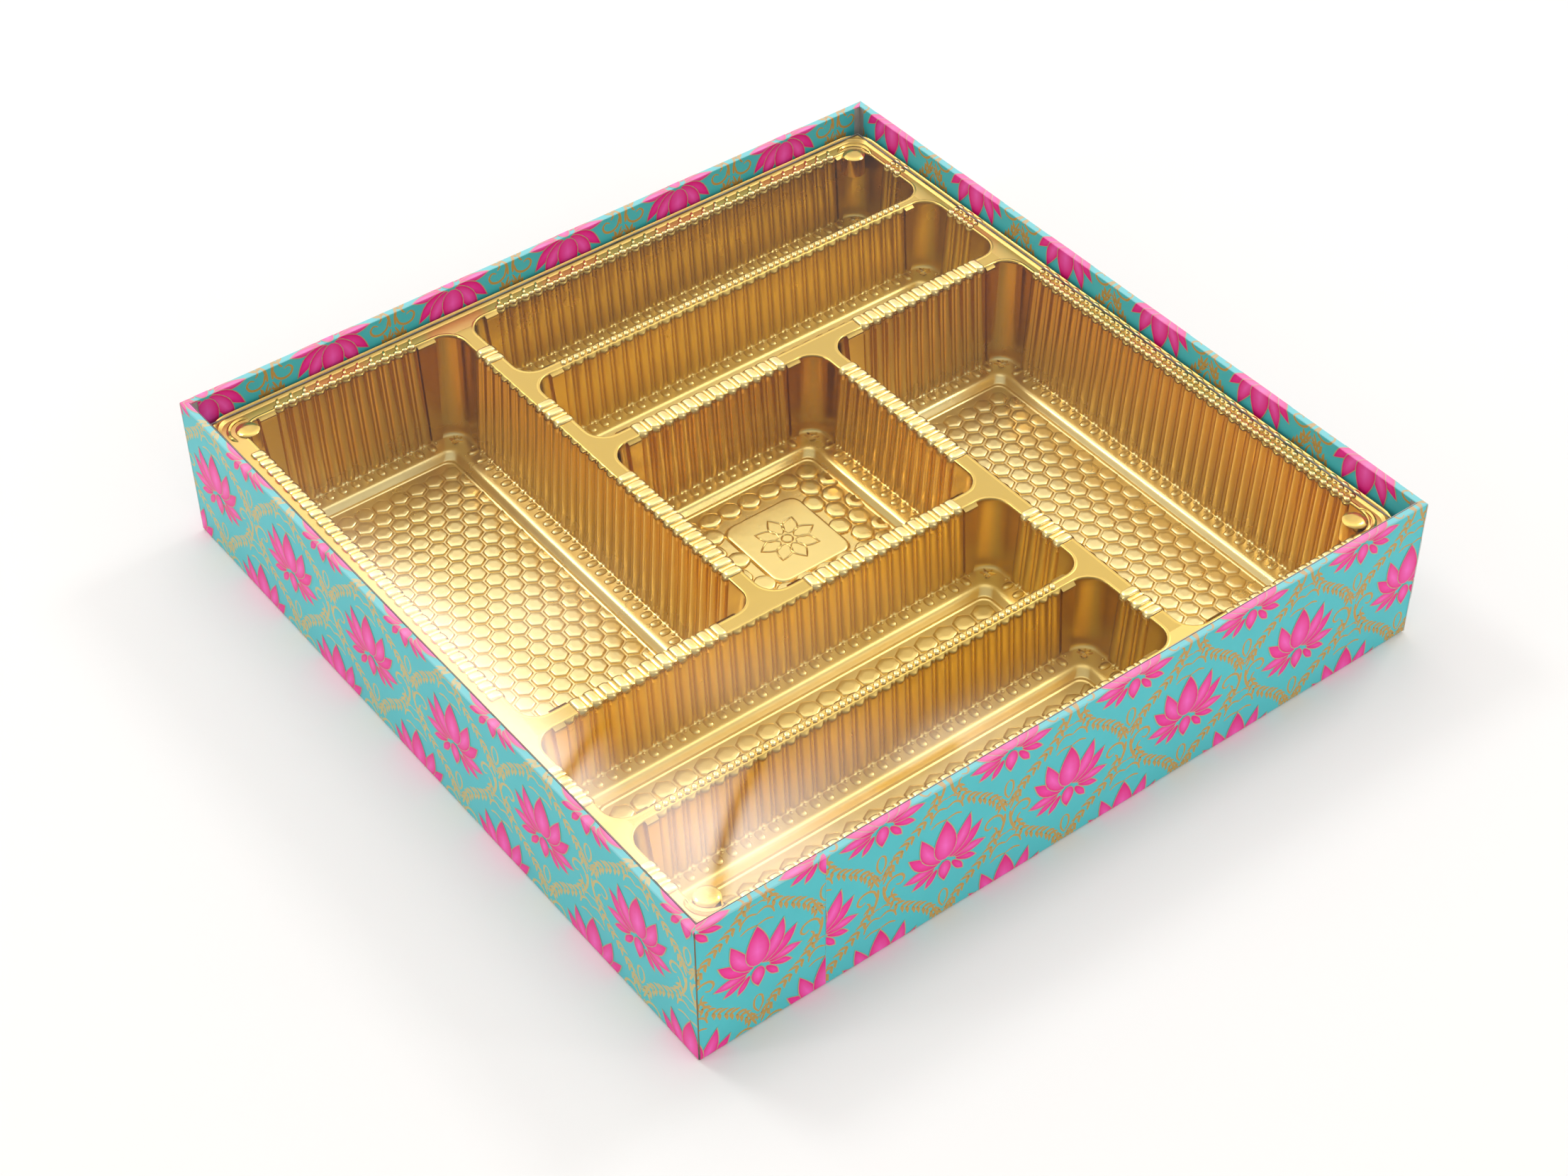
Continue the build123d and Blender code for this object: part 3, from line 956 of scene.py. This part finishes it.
FIRST_PETAL_LAYER = 4

# Strokes of the trellis, right half, from a node's waist: points, width at each end
SCROLLS = (
    (((0.7, 0.2), (2.4, 4.2), (4.4, 9.0)), 0.75, 0.5),
    (((0.3, 1.6), (1.5, 4.6), (2.6, 6.4)), 0.5, 0.35),
    (((0.0, 4.8), (1.35, 7.4), (1.2, 10.4), (0.0, 11.6)), 0.55, 0.55),
    (((0.9, -0.6), (1.1, -3.6), (1.9, -6.6), (3.4, -9.4)), 0.95, 0.55),
    (((1.5, -3.2), (2.2, -0.6), (4.4, 0.7), (6.8, 0.1), (7.7, -1.9), (6.5, -3.3), (5.0, -2.6)), 0.8, 0.5),
    (((4.6, -3.6), (3.6, -5.0), (4.4, -7.6), (6.4, -10.2)), 0.6, 0.5),
    (((0.0, -8.6), (1.6, -8.4), (3.0, -9.6)), 0.4, 0.4),
    (((0.0, -12.4), (2.4, -11.4), (4.6, -12.8), (5.4, -15.2)), 0.6, 0.6),
    (((0.0, -16.6), (3.0, -16.2), (5.2, -17.2)), 0.5, 0.5),
    (((16.8, -24.6), (19.4, -23.6), (21.3, -23.8)), 0.5, 0.4),
)
# The braid of comma leaves down each diagonal, right half
BRAID = ((2.6, -6.0), (5.4, -11.2), (9.6, -15.0), (13.8, -18.2), (17.2, -22.0), (19.4, -26.2))
BRAID_LEAVES = 11
LEAF_LENGTH, LEAF_WIDTH, LEAF_LEAN = 3.6, 1.2, 38.0
SHORT_LEAF = 0.82
LEAF_LAYER = 3


def smooth_line(points, steps=3):
    """A curve through points."""
    line = []
    for i in range(len(points) - 1):
        near = [points[min(max(i + k, 0), len(points) - 1)] for k in (-1, 0, 1, 2)]
        for step in range(steps):
            line.append(tuple(curve_value(*values, step / steps) for values in zip(*near)))
    line.append(points[-1])
    return line


def curve_value(a, b, c, d, t):
    """A smooth curve's value between b and c."""
    bend = (2 * a - 5 * b + 4 * c - d) * t * t + (3 * b - a - 3 * c + d) * t ** 3
    return 0.5 * (2 * b + (c - a) * t + bend)


def stroke(points, start_width, end_width):
    """Rows of (x, y, colour) across a stroke that swells in its middle."""
    line = smooth_line(points)
    rows = []
    for i, (x, y) in enumerate(line):
        share = i / (len(line) - 1)
        width = start_width + (end_width - start_width) * share
        half = width * INK_SPREAD * (0.45 + 0.75 * math.sin(math.pi * share) ** 0.5) / 2
        nx, ny = line_normal(line, i)
        rows.append([(x + nx * half, y + ny * half, GOLD_INK), (x - nx * half, y - ny * half, GOLD_INK)])
    return rows


def blend_color(a, b, share):
    """A colour between two colours."""
    return tuple(p + (q - p) * share for p, q in zip(a, b))


def petal(root, tip, width, fullest, grow, bend, steps, columns, color_at):
    """Rows of (x, y, colour) over a teardrop with a round root and a pointed tip."""
    length = math.hypot(tip[0] - root[0], tip[1] - root[1])
    ax, ay = (tip[0] - root[0]) / length, (tip[1] - root[1]) / length
    start, end = -grow, length + grow * 2.2
    rows = []
    for step in range(steps + 1):
        share = 0.5 - 0.5 * math.cos(math.pi * step / steps)
        along = start + (end - start) * share
        if share < fullest:
            wide = math.sqrt(max(1 - ((fullest - share) / fullest) ** 2, 0.0))
        else:
            wide = 1 - ((share - fullest) / (1 - fullest)) ** 1.7
        row = []
        for column in columns:
            across = column * (width / 2 + grow) * wide + bend * math.sin(math.pi * share)
            away = math.hypot((share - fullest) / 0.5, column * wide)
            row.append((*turned(root, along, across, ax, ay), color_at(min(away, 1.0))))
        rows.append(row)
    return rows


def lotus(x, y):
    """(layer, rows) for each petal of one lotus, back petals first."""
    petals = []
    for root, tip, width, fullest, light in reversed(SIDE_PETALS):
        for sign in (-1, 1):
            bend = -sign * width * PETAL_BEND if tip[1] > 0 else 0.0
            petals.append(((sign * root[0], root[1]), (sign * tip[0], tip[1]), width, fullest, light, bend))
    petals += [(*CENTRE_PETAL, 0.0), (*DROP_PETAL, 0.0)]
    shapes = []
    for number, (root, tip, width, fullest, light, bend) in enumerate(petals):
        root, tip = (root[0] + x, root[1] + y), (tip[0] + x, tip[1] + y)
        layer = FIRST_PETAL_LAYER + number * 2

        def tint(away, light=light):
            return blend_color(light, PINK_EDGE, away ** 1.15)

        line = petal(root, tip, width, fullest, OUTLINE_WIDTH, bend, 9, (-1, 1), lambda away: PALE_LINE)
        fill_rows = petal(root, tip, width, fullest, 0.0, bend, 10, (-1, -0.6, 0, 0.6, 1), tint)
        shapes += [(layer, line), (layer + 1, fill_rows)]
    return shapes


def braid_leaves():
    """(x, y, degrees, length) of the comma leaves on both sides of the braid's middle line."""
    line = smooth_line(BRAID, 8)
    leaves = []
    for number in range(BRAID_LEAVES):
        at = round(number / BRAID_LEAVES * (len(line) - 2))
        (ax, ay), (bx, by) = line[at], line[at + 1]
        along = math.degrees(math.atan2(by - ay, bx - ax))
        leaves.append((ax, ay, along - LEAF_LEAN, LEAF_LENGTH * SHORT_LEAF))
        leaves.append((ax, ay, along + LEAF_LEAN, LEAF_LENGTH))
    return leaves


def trellis(x, y):
    """(layer, rows) for the scrolls and leaves that hang from one node."""
    shapes = []
    for sign in (-1, 1):
        for number, (points, start_width, end_width) in enumerate(SCROLLS):
            placed = [(x + sign * px, y + py) for px, py in points]
            shapes.append((1 + number % 2, stroke(placed, start_width, end_width)))
        for px, py, degrees, length in braid_leaves():
            turn = math.radians(degrees)
            root = (x + sign * px, y + py)
            tip = (root[0] + sign * length * math.cos(turn), root[1] + length * math.sin(turn))
            rows = petal(root, tip, LEAF_WIDTH, 0.35, 0.0, sign * 0.35, 6, (-1, 1), lambda away: GOLD_INK)
            shapes.append((LEAF_LAYER, rows))
    return shapes


# The printed sheet

# Its path over the rim: inset from the outer face, height
FOLD = (
    (TURN_UNDER, WRAP_FOOT_Z), (0.45, WRAP_FOOT_Z), (0.12, WRAP_FOOT_Z + 0.12), (0, WRAP_FOOT_Z + 0.45),
    (0, RIM_Z - 0.6), (0.08, RIM_Z - 0.3), (0.28, RIM_Z - 0.08), (0.6, RIM_Z), (RIM_WIDTH - 0.5, RIM_Z),
    (RIM_WIDTH - 0.22, RIM_Z - 0.08), (RIM_WIDTH - 0.06, RIM_Z - 0.26), (RIM_WIDTH, RIM_Z - 0.5),
    (RIM_WIDTH, RIM_Z - TURN_IN),
)
BAND_COUNT = len(FOLD) - 1
RIM_BANDS = range(4, BAND_COUNT - 2)
INNER_EDGE_BAND = BAND_COUNT - 4
FOOT_BEND = 2
SLIT_BENDS = range(2, 7)
# How much painted glare is blended into the print over the rim
RIM_GLARE_SHARE = 0.18
FLAP_GAP = 2.0

# The seam on the front wall, where one end laps over the other, and the open front left corner
SEAM_X = -86.5
LAP_LENGTH = 22.0
LAP_RISE = 0.12
SLIT = 0.45


def fold_lengths():
    """The distance along the sheet of each bend, zero at the foot of the wall."""
    lengths = [0.0]
    for (a, z0), (b, z1) in zip(FOLD, FOLD[1:]):
        lengths.append(lengths[-1] + math.hypot(b - a, z1 - z0))
    return [length - lengths[FOOT_BEND] for length in lengths]


def fold_normals():
    """The way out of the paper at each bend: along the inset and up."""
    flat = [line_normal(FOLD[i:i + 2], 0) for i in range(BAND_COUNT)]
    normals = []
    for i in range(len(FOLD)):
        before, after = flat[max(i - 1, 0)], flat[min(i, BAND_COUNT - 1)]
        x, z = before[0] + after[0], before[1] + after[1]
        length = math.hypot(x, z)
        normals.append((x / length, z / length))
    return normals


FOLD_AT = fold_lengths()
FOLD_OUT = fold_normals()


def with_rim_glare(band, color):
    """The print is painted paler where the sheet turns over the rim: a painted glare of light on the rim."""
    return blend_color(color, RIM_GLARE, RIM_GLARE_SHARE) if band in RIM_BANDS else color


def folded(band, v, lift):
    """The inset and height of a place along the sheet, lifted off the paper."""
    share = (v - FOLD_AT[band]) / (FOLD_AT[band + 1] - FOLD_AT[band])
    inset, z = blend_color(FOLD[band], FOLD[band + 1], share)
    out, up = blend_color(FOLD_OUT[band], FOLD_OUT[band + 1], share)
    return inset + out * (lift - INK_DEPTH), z + up * (lift - INK_DEPTH)


def lap_lift(x):
    """How far the lapped end stands off the sheet under it."""
    return LAP_RISE * (max(0.0, 1.0 - max(x - SEAM_X, 0.0) / LAP_LENGTH) - 1.0)


def clip(corners, a, b, c):
    """The part of a flat polygon where a x + b y + c is not negative."""
    kept = []
    for p, q in zip(corners, corners[1:] + corners[:1]):
        hp, hq = a * p[0] + b * p[1] + c, a * q[0] + b * q[1] + c
        if hp >= 0:
            kept.append(p)
        if (hp < 0) != (hq < 0):
            share = hp / (hp - hq)
            kept.append((*blend_color(p[:2], q[:2], share), blend_color(p[2], q[2], share)))
    return kept


# Each wall's axis, and the side of the box where it stands
WALL_SIDES = {"front": ("x", -1), "right": ("y", 1), "back": ("x", 1), "left": ("y", -1)}


class Sheet:
    """One wall's stretch of the printed sheet; at the seam, one stretch runs over the other."""

    def __init__(self, wall, low, high, lap=None):
        """A stretch between two ends; lap is over or under where it ends at the seam."""
        self.axis, self.side = WALL_SIDES[wall]
        self.low, self.high = low, high
        self.over, self.under = lap == "over", lap == "under"
        self.slit = SLIT if wall == "left" or self.under else 0.0
        # The front and left walls get a painted shadow line along the rim's inner edge instead of print
        self.paints_shadow_line = wall in ("front", "left")
        # The left wall's gold ink is painted lighter, a painted highlight
        self.wall_gold_ink = LIT_FOIL if wall == "left" else GOLD_INK

    def ends(self, bend):
        """The two ends at a bend; at a corner of the box they stand back."""
        back = RIM_WIDTH + FLAP_GAP if bend >= BAND_COUNT - 1 else FOLD[bend][0]
        low_back = max(back, self.slit if bend in SLIT_BENDS else 0.0)
        return self.low + (0.0 if self.over else low_back), self.high - (0.0 if self.under else back)

    def band_ends(self, band):
        """Both ends of the sheet at the start and finish of a band; the turned-in flap is straight."""
        start = band + 1 if band == BAND_COUNT - 1 else band
        finish = band if band == BAND_COUNT - 2 else band + 1
        return self.ends(start), self.ends(finish)

    def solid(self, band, x, v, lift):
        """A flat place on the sheet, folded round the board."""
        inset, z = folded(band, v, lift)
        if self.over and band < len(FOLD) / 2:
            inset -= lap_lift(x)
        if self.under:
            inset += LAP_RISE
        across = self.side * (HALF - inset)
        return (x, across, z) if self.axis == "x" else (across, x, z)

    def paint(self, shell, corners, layer):
        """One flat polygon of ink, cut at the folds and the sheet's ends."""
        low_v, high_v = min(p[1] for p in corners), max(p[1] for p in corners)
        low_x, high_x = min(p[0] for p in corners), max(p[0] for p in corners)
        if high_x < self.low or low_x > self.high:
            return
        for band in range(BAND_COUNT):
            v0, v1 = FOLD_AT[band], FOLD_AT[band + 1]
            if high_v <= v0 or low_v >= v1 or (self.paints_shadow_line and band == INNER_EDGE_BAND):
                continue
            piece = corners
            if low_v < v0:
                piece = clip(piece, 0, 1, -v0)
            if high_v > v1:
                piece = clip(piece, 0, -1, v1)
            (a0, b0), (a1, b1) = self.band_ends(band)
            if low_x < max(a0, a1) and piece:
                lean = (a1 - a0) / (v1 - v0)
                piece = clip(piece, 1, -lean, lean * v0 - a0)
            if high_x > min(b0, b1) and piece:
                lean = (b1 - b0) / (v1 - v0)
                piece = clip(piece, -1, lean, b0 - lean * v0)
            if len(piece) < 3:
                continue
            points = [self.solid(band, x, v, layer * LAYER) for x, v, color in piece]
            inks = [self.wall_gold_ink if color == GOLD_INK else color for x, v, color in piece]
            shell.face(points, 0, [with_rim_glare(band, ink) for ink in inks])

    def ground(self, shell):
        """The teal ground between the inks, the white paper behind it, and the sheet's cut ends."""
        for band in range(BAND_COUNT):
            (a0, b0), (a1, b1) = self.band_ends(band)
            v0, v1 = FOLD_AT[band], FOLD_AT[band + 1]
            # On those walls the inner edge band is painted dark as a shadow line
            ink = PAINTED_SHADOW_LINE if self.paints_shadow_line and band == INNER_EDGE_BAND else with_rim_glare(band, TEAL)
            stretches = [(a0, a1, b0, b1)]
            if self.over:
                joint = self.low + LAP_LENGTH
                stretches = [(a0, a1, joint, joint), (joint, joint, b0, b1)]
            for x0, x1, x2, x3 in stretches:
                corners = ((x0, v0), (x2, v0), (x3, v1), (x1, v1))
                for slot, depth, color in ((0, 0.0, ink), (1, -PAPER_DEPTH, PAPER_WHITE)):
                    shell.face([self.solid(band, x, v, depth) for x, v in corners], slot, [color] * 4)
            for slot, ends in ((2 if self.slit else 1, (a0, a1)), (1, (b0, b1))):
                edge = ((0, 0.0), (1, 0.0), (1, -PAPER_DEPTH), (0, -PAPER_DEPTH))
                points = [self.solid(band, ends[k], (v0, v1)[k], depth) for k, depth in edge]
                shell.face(points, slot, [PAPER_WHITE] * 4)

    def print(self, shell, phase, base_row):
        """The whole pattern that reaches into this stretch of the sheet."""
        first_row = math.floor((FOLD_AT[0] - base_row) / ROW_PITCH) - 1
        last_row = math.ceil((FOLD_AT[-1] - base_row) / ROW_PITCH) + 1
        for row in range(first_row, last_row + 1):
            y = base_row + row * ROW_PITCH
            shift = phase + (COLUMN_PITCH / 2 if row % 2 else 0.0)
            first = math.floor((self.low - shift) / COLUMN_PITCH) - 1
            last = math.ceil((self.high - shift) / COLUMN_PITCH) + 1
            for column in range(first, last + 1):
                x = shift + column * COLUMN_PITCH
                for layer, rows in trellis(x + COLUMN_PITCH / 2, y + TRELLIS_RISE) + lotus(x, y):
                    self.paint_rows(shell, rows, layer)

    def paint_rows(self, shell, rows, layer):
        """A shape's rows as small polygons of ink."""
        for before, after in zip(rows, rows[1:]):
            for i in range(len(before) - 1):
                self.paint(shell, [before[i], before[i + 1], after[i + 1], after[i]], layer)


LOTUS_ROW = 24.7


def make_wrap():
    """The printed strip round the four walls, with each wall's first column and row of lotuses."""
    walls = (
        (Sheet("front", -HALF, SEAM_X, "under"), -108.0, LOTUS_ROW + 2.5),
        (Sheet("front", SEAM_X, HALF, "over"), -4.7, LOTUS_ROW),
        (Sheet("right", -HALF, HALF), 1.1, LOTUS_ROW),
        (Sheet("back", -HALF, HALF), 29.2, LOTUS_ROW + 4.0),
        (Sheet("left", -HALF, HALF), -17.0, LOTUS_ROW + 4.0),
    )
    shell = Shell()
    for sheet, phase, base_row in walls:
        sheet.ground(shell)
        sheet.print(shell, phase, base_row)
    made = shell.make("wrap_print", [PRINT, WHITE_PAPER, SHADED_BOARD], 50.0)
    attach(made, "box")
    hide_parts("printed_wrap")


# The cover film

FILM_STEPS = 110
FILM_BORDER = 0.45
WAVE = 0.2
# Patches of painted glare, whitish, where the film catches the light: middle, reach along X and Y, density
PAINTED_GLARE_PATCHES = (
    ((-118.0, -108.0), (40.0, 30.0), 0.52),
    ((-84.0, -101.0), (34.0, 14.0), 0.24),
    ((-60.0, -58.0), (40.0, 18.0), 0.06),
    ((-120.0, -25.0), (12.0, 60.0), 0.50),
    ((-42.0, -110.0), (36.0, 9.0), 0.17),
    ((-96.0, -6.0), (24.0, 18.0), 0.08),
)
# Streaks where the painted glare breaks, where the film bends
GLARE_BREAKS = (
    ((-100.0, -50.0), (-107.0, -52.5), (-120.0, -60.0)),
    ((-72.0, -82.0), (-75.0, -85.0), (-88.0, -92.5), (-99.0, -101.5), (-106.0, -108.5), (-112.0, -116.0)),
    ((-57.0, -111.0), (-46.0, -113.0), (-33.0, -112.0)),
)
STREAK_HALF_WIDTH = 2.2


def line_distance(x, y, line):
    """How far a plan point is from a broken line."""
    best = math.inf
    for (ax, ay), (bx, by) in zip(line, line[1:]):
        dx, dy = bx - ax, by - ay
        share = min(max(((x - ax) * dx + (y - ay) * dy) / (dx * dx + dy * dy), 0.0), 1.0)
        best = min(best, math.hypot(x - ax - dx * share, y - ay - dy * share))
    return best


def painted_glare_density(x, y):
    """How strong the painted glare on the film is at a plan point."""
    density = 0.0
    for (middle_x, middle_y), (reach_x, reach_y), peak in PAINTED_GLARE_PATCHES:
        away = math.hypot((x - middle_x) / reach_x, (y - middle_y) / reach_y)
        density = max(density, peak * math.exp(-away * away))
    density *= 1 + 0.2 * math.sin(x / 9.0 + y / 14.0)
    for line in GLARE_BREAKS:
        near = line_distance(x, y, line) / STREAK_HALF_WIDTH
        density *= 1 - 0.9 * math.exp(-near * near)
    return density


def film_rows(high, face_z):
    """One face of the film as rows of points, with a slight wave."""
    inner = high.x - FILM_BORDER
    places = [-high.x, -inner]
    places += [inner * (2 * i / FILM_STEPS - 1) for i in range(1, FILM_STEPS)]
    places += [inner, high.x]
    rows = []
    for x in places:
        row = []
        for y in places:
            wave = 0.5 + 0.25 * math.sin(x / 31.0 + 0.6) + 0.25 * math.sin(y / 23.0 + x / 80.0)
            row.append((x, y, face_z + WAVE * wave))
        rows.append(row)
    return rows


def make_cover():
    """The loose clear film, with a slight wave, a painted glare and a cut edge."""
    low, high = node_box("cover_sheet")
    under, over = film_rows(high, low.z), film_rows(high, high.z)
    shell = Shell()
    shell.strip(under, closed=False)
    shell.strip(over, closed=False)
    shell.slots = [1 if shell.outward(face) > high.x - FILM_BORDER - 0.01 else 0 for face in shell.faces]
    # Painted glare, kept in the mesh's colours
    density = [(painted_glare_density(x, y) / 2,) * 3 for x, y, z in shell.points]
    shell.colors = [[density[i] for i in face] for face in shell.faces]
    for end in (0, -1):
        shell.strip([under[end], over[end]], closed=False, slot=1)
        shell.strip([[row[end] for row in face] for face in (under, over)], closed=False, slot=1)
    made = shell.make("cover_film", [FILM, FILM_EDGE])
    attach(made, "cover")
    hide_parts("cover_sheet")


def dress_boards():
    """Papers and boards that keep their CAD shape."""
    looks = {"board": GREYBOARD, "stay": KRAFT, "base_sheet": WHITE_PAPER, "floor_liner": WHITE_PAPER}
    for name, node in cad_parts.items():
        for word, look in looks.items():
            if word in name:
                node.data.materials.clear()
                node.data.materials.append(look)


# The stage

# The camera: an aim point on the floor, two angles, a distance and a roll
IMAGE_WIDTH = 2212
FOCAL_PIXELS = 4082.0
SENSOR = 36.0
AIM = Vector((-3.94, -1.59, 0.0))
AZIMUTH, ELEVATION, ROLL_DEGREES = -37.16, 43.25, -0.487
DISTANCE = 856.3

STUDIO_WHITE = (0.983, 0.983, 0.965, 1.0)
STUDIO_LIGHT = (0.765, 0.740, 0.715, 1.0)
FLOOR_DARK, FLOOR_LIGHT = (0.855, 0.850, 0.843), (0.865, 0.860, 0.853)
FLOOR_HALF = 4.0
SHADOW_REACH = 0.40

# The studio's bright side, and the grey that the metal mirrors from its far side round to there
BRIGHT_SIDE = (0.50, 0.62, 0.60)
MIRRORED_GREYS = (
    (0.0, 0.45), (1.0, 1.06), (0.5, 0.36), (0.64, 0.84), (0.73, 0.52), (0.81, 0.80),
    (0.90, 2.10), (0.97, 1.70),
)


def make_camera():
    """The photograph's viewpoint."""
    data = bpy.data.cameras.new("camera")
    data.sensor_width = SENSOR
    data.lens = FOCAL_PIXELS * SENSOR / IMAGE_WIDTH
    data.clip_start = 0.01
    camera = bpy.data.objects.new("camera", data)
    way = Matrix.Rotation(math.radians(AZIMUTH), 4, "Z")
    way = way @ Matrix.Rotation(math.radians(90 - ELEVATION), 4, "X")
    way = way @ Matrix.Rotation(math.radians(ROLL_DEGREES), 4, "Z")
    back = Matrix.Translation((0, 0, DISTANCE * MM))
    camera.matrix_world = Matrix.Translation(AIM * MM) @ way @ back
    bpy.context.scene.collection.objects.link(camera)
    bpy.context.scene.camera = camera


def fade_to_white(tree, shader):
    """The floor past the shadow, seen as white as the background."""
    place = wire(tree, "TexCoord", "Object")
    away = wire(tree, "VectorMath", "Value", {0: place}, operation="LENGTH")
    past = share_between(tree, away, SHADOW_REACH, SHADOW_REACH * 2)
    seen = wire(tree, "LightPath", "Is Camera Ray")
    share = wire(tree, "Math", "Value", {0: past, 1: seen}, operation="MULTIPLY")
    white = wire(tree, "Emission", "Emission", {"Color": STUDIO_WHITE})
    show(tree, mixed(tree, share, shader.outputs["BSDF"], white))


def make_floor():
    """A pale floor that keeps the box's shadow."""
    far = FLOOR_HALF
    mesh = bpy.data.meshes.new("floor")
    mesh.from_pydata([(-far, -far, 0), (far, -far, 0), (far, far, 0), (-far, far, 0)], [], [(0, 1, 2, 3)])
    material, tree, shader = new_material("floor")
    tone = mottled(tree, 3.0, 2.0, FLOOR_DARK, FLOOR_LIGHT)
    fill(tree, shader, {"Base Color": tone, "Roughness": 0.9, "Specular IOR Level": 0.1})
    fade_to_white(tree, shader)
    mesh.materials.append(material)
    floor = bpy.data.objects.new("floor", mesh)
    bpy.context.scene.collection.objects.link(floor)


def background(tree, color):
    """A background shader of one colour, or of a linked colour."""
    return wire(tree, "Background", "Background", {"Color": color})


def mirrored_sky(tree):
    """What the metal mirrors: bright behind the box, darker on the camera's side."""
    inputs = {0: wire(tree, "TexCoord", "Generated"), 1: BRIGHT_SIDE}
    side = wire(tree, "VectorMath", "Value", inputs, operation="DOT_PRODUCT")
    return grey_ramp(tree, share_between(tree, side, -1.0, 1.0), MIRRORED_GREYS)


def make_world():
    """A pale studio, white to the camera."""
    world = bpy.data.worlds.new("studio")
    bpy.context.scene.world = world
    world.use_nodes = True
    tree = world.node_tree
    tree.nodes.remove(tree.nodes["Background"])
    path = wire(tree, "LightPath", "Is Camera Ray")
    light, sky = background(tree, STUDIO_LIGHT), background(tree, mirrored_sky(tree))
    lit = mixed(tree, path.node.outputs["Is Glossy Ray"], light, sky)
    show(tree, mixed(tree, path, lit, background(tree, STUDIO_WHITE)), "World Output")


def area_light(name, place, aim_height, width, height, power, mirrored=True):
    """A soft box that faces the middle at a height; one that isn't mirrored lights only matt surfaces."""
    data = bpy.data.lights.new(name, "AREA")
    data.shape = "RECTANGLE"
    data.size, data.size_y = width, height
    data.energy = power
    lamp = bpy.data.objects.new(name, data)
    lamp.location = place
    way = Vector((0, 0, aim_height)) - Vector(place)
    lamp.rotation_euler = way.to_track_quat("-Z", "Y").to_euler()
    lamp.visible_glossy = mirrored
    bpy.context.scene.collection.objects.link(lamp)


def make_lights():
    """A broad key from behind, a front fill, and soft boxes that the ribs and beads mirror."""
    area_light("key", (0.16, 0.44, 1.5), 0, 1.0, 1.0, 4.2, False)
    area_light("front_fill", (0.05, -1.35, 0.75), 0.02, 1.0, 0.7, 2.7, False)
    area_light("sparkle_left", (-0.35, 0.75, 1.1), 0.03, 0.30, 0.30, 2.8)
    area_light("sparkle_right", (0.95, 0.10, 1.1), 0.03, 0.30, 0.30, 2.8)
    area_light("strip_left", (-1.15, 0.35, 0.55), 0.03, 0.16, 0.8, 1.6)
    area_light("strip_right", (0.75, -1.0, 0.75), 0.03, 0.16, 0.8, 1.0)


make_camera()
make_floor()
make_world()
make_lights()
bpy.context.scene.view_settings.view_transform = "Standard"

dress_boards()
for cup_name in CUPS:
    make_cup(cup_name)
make_web()
make_wrap()
make_cover()
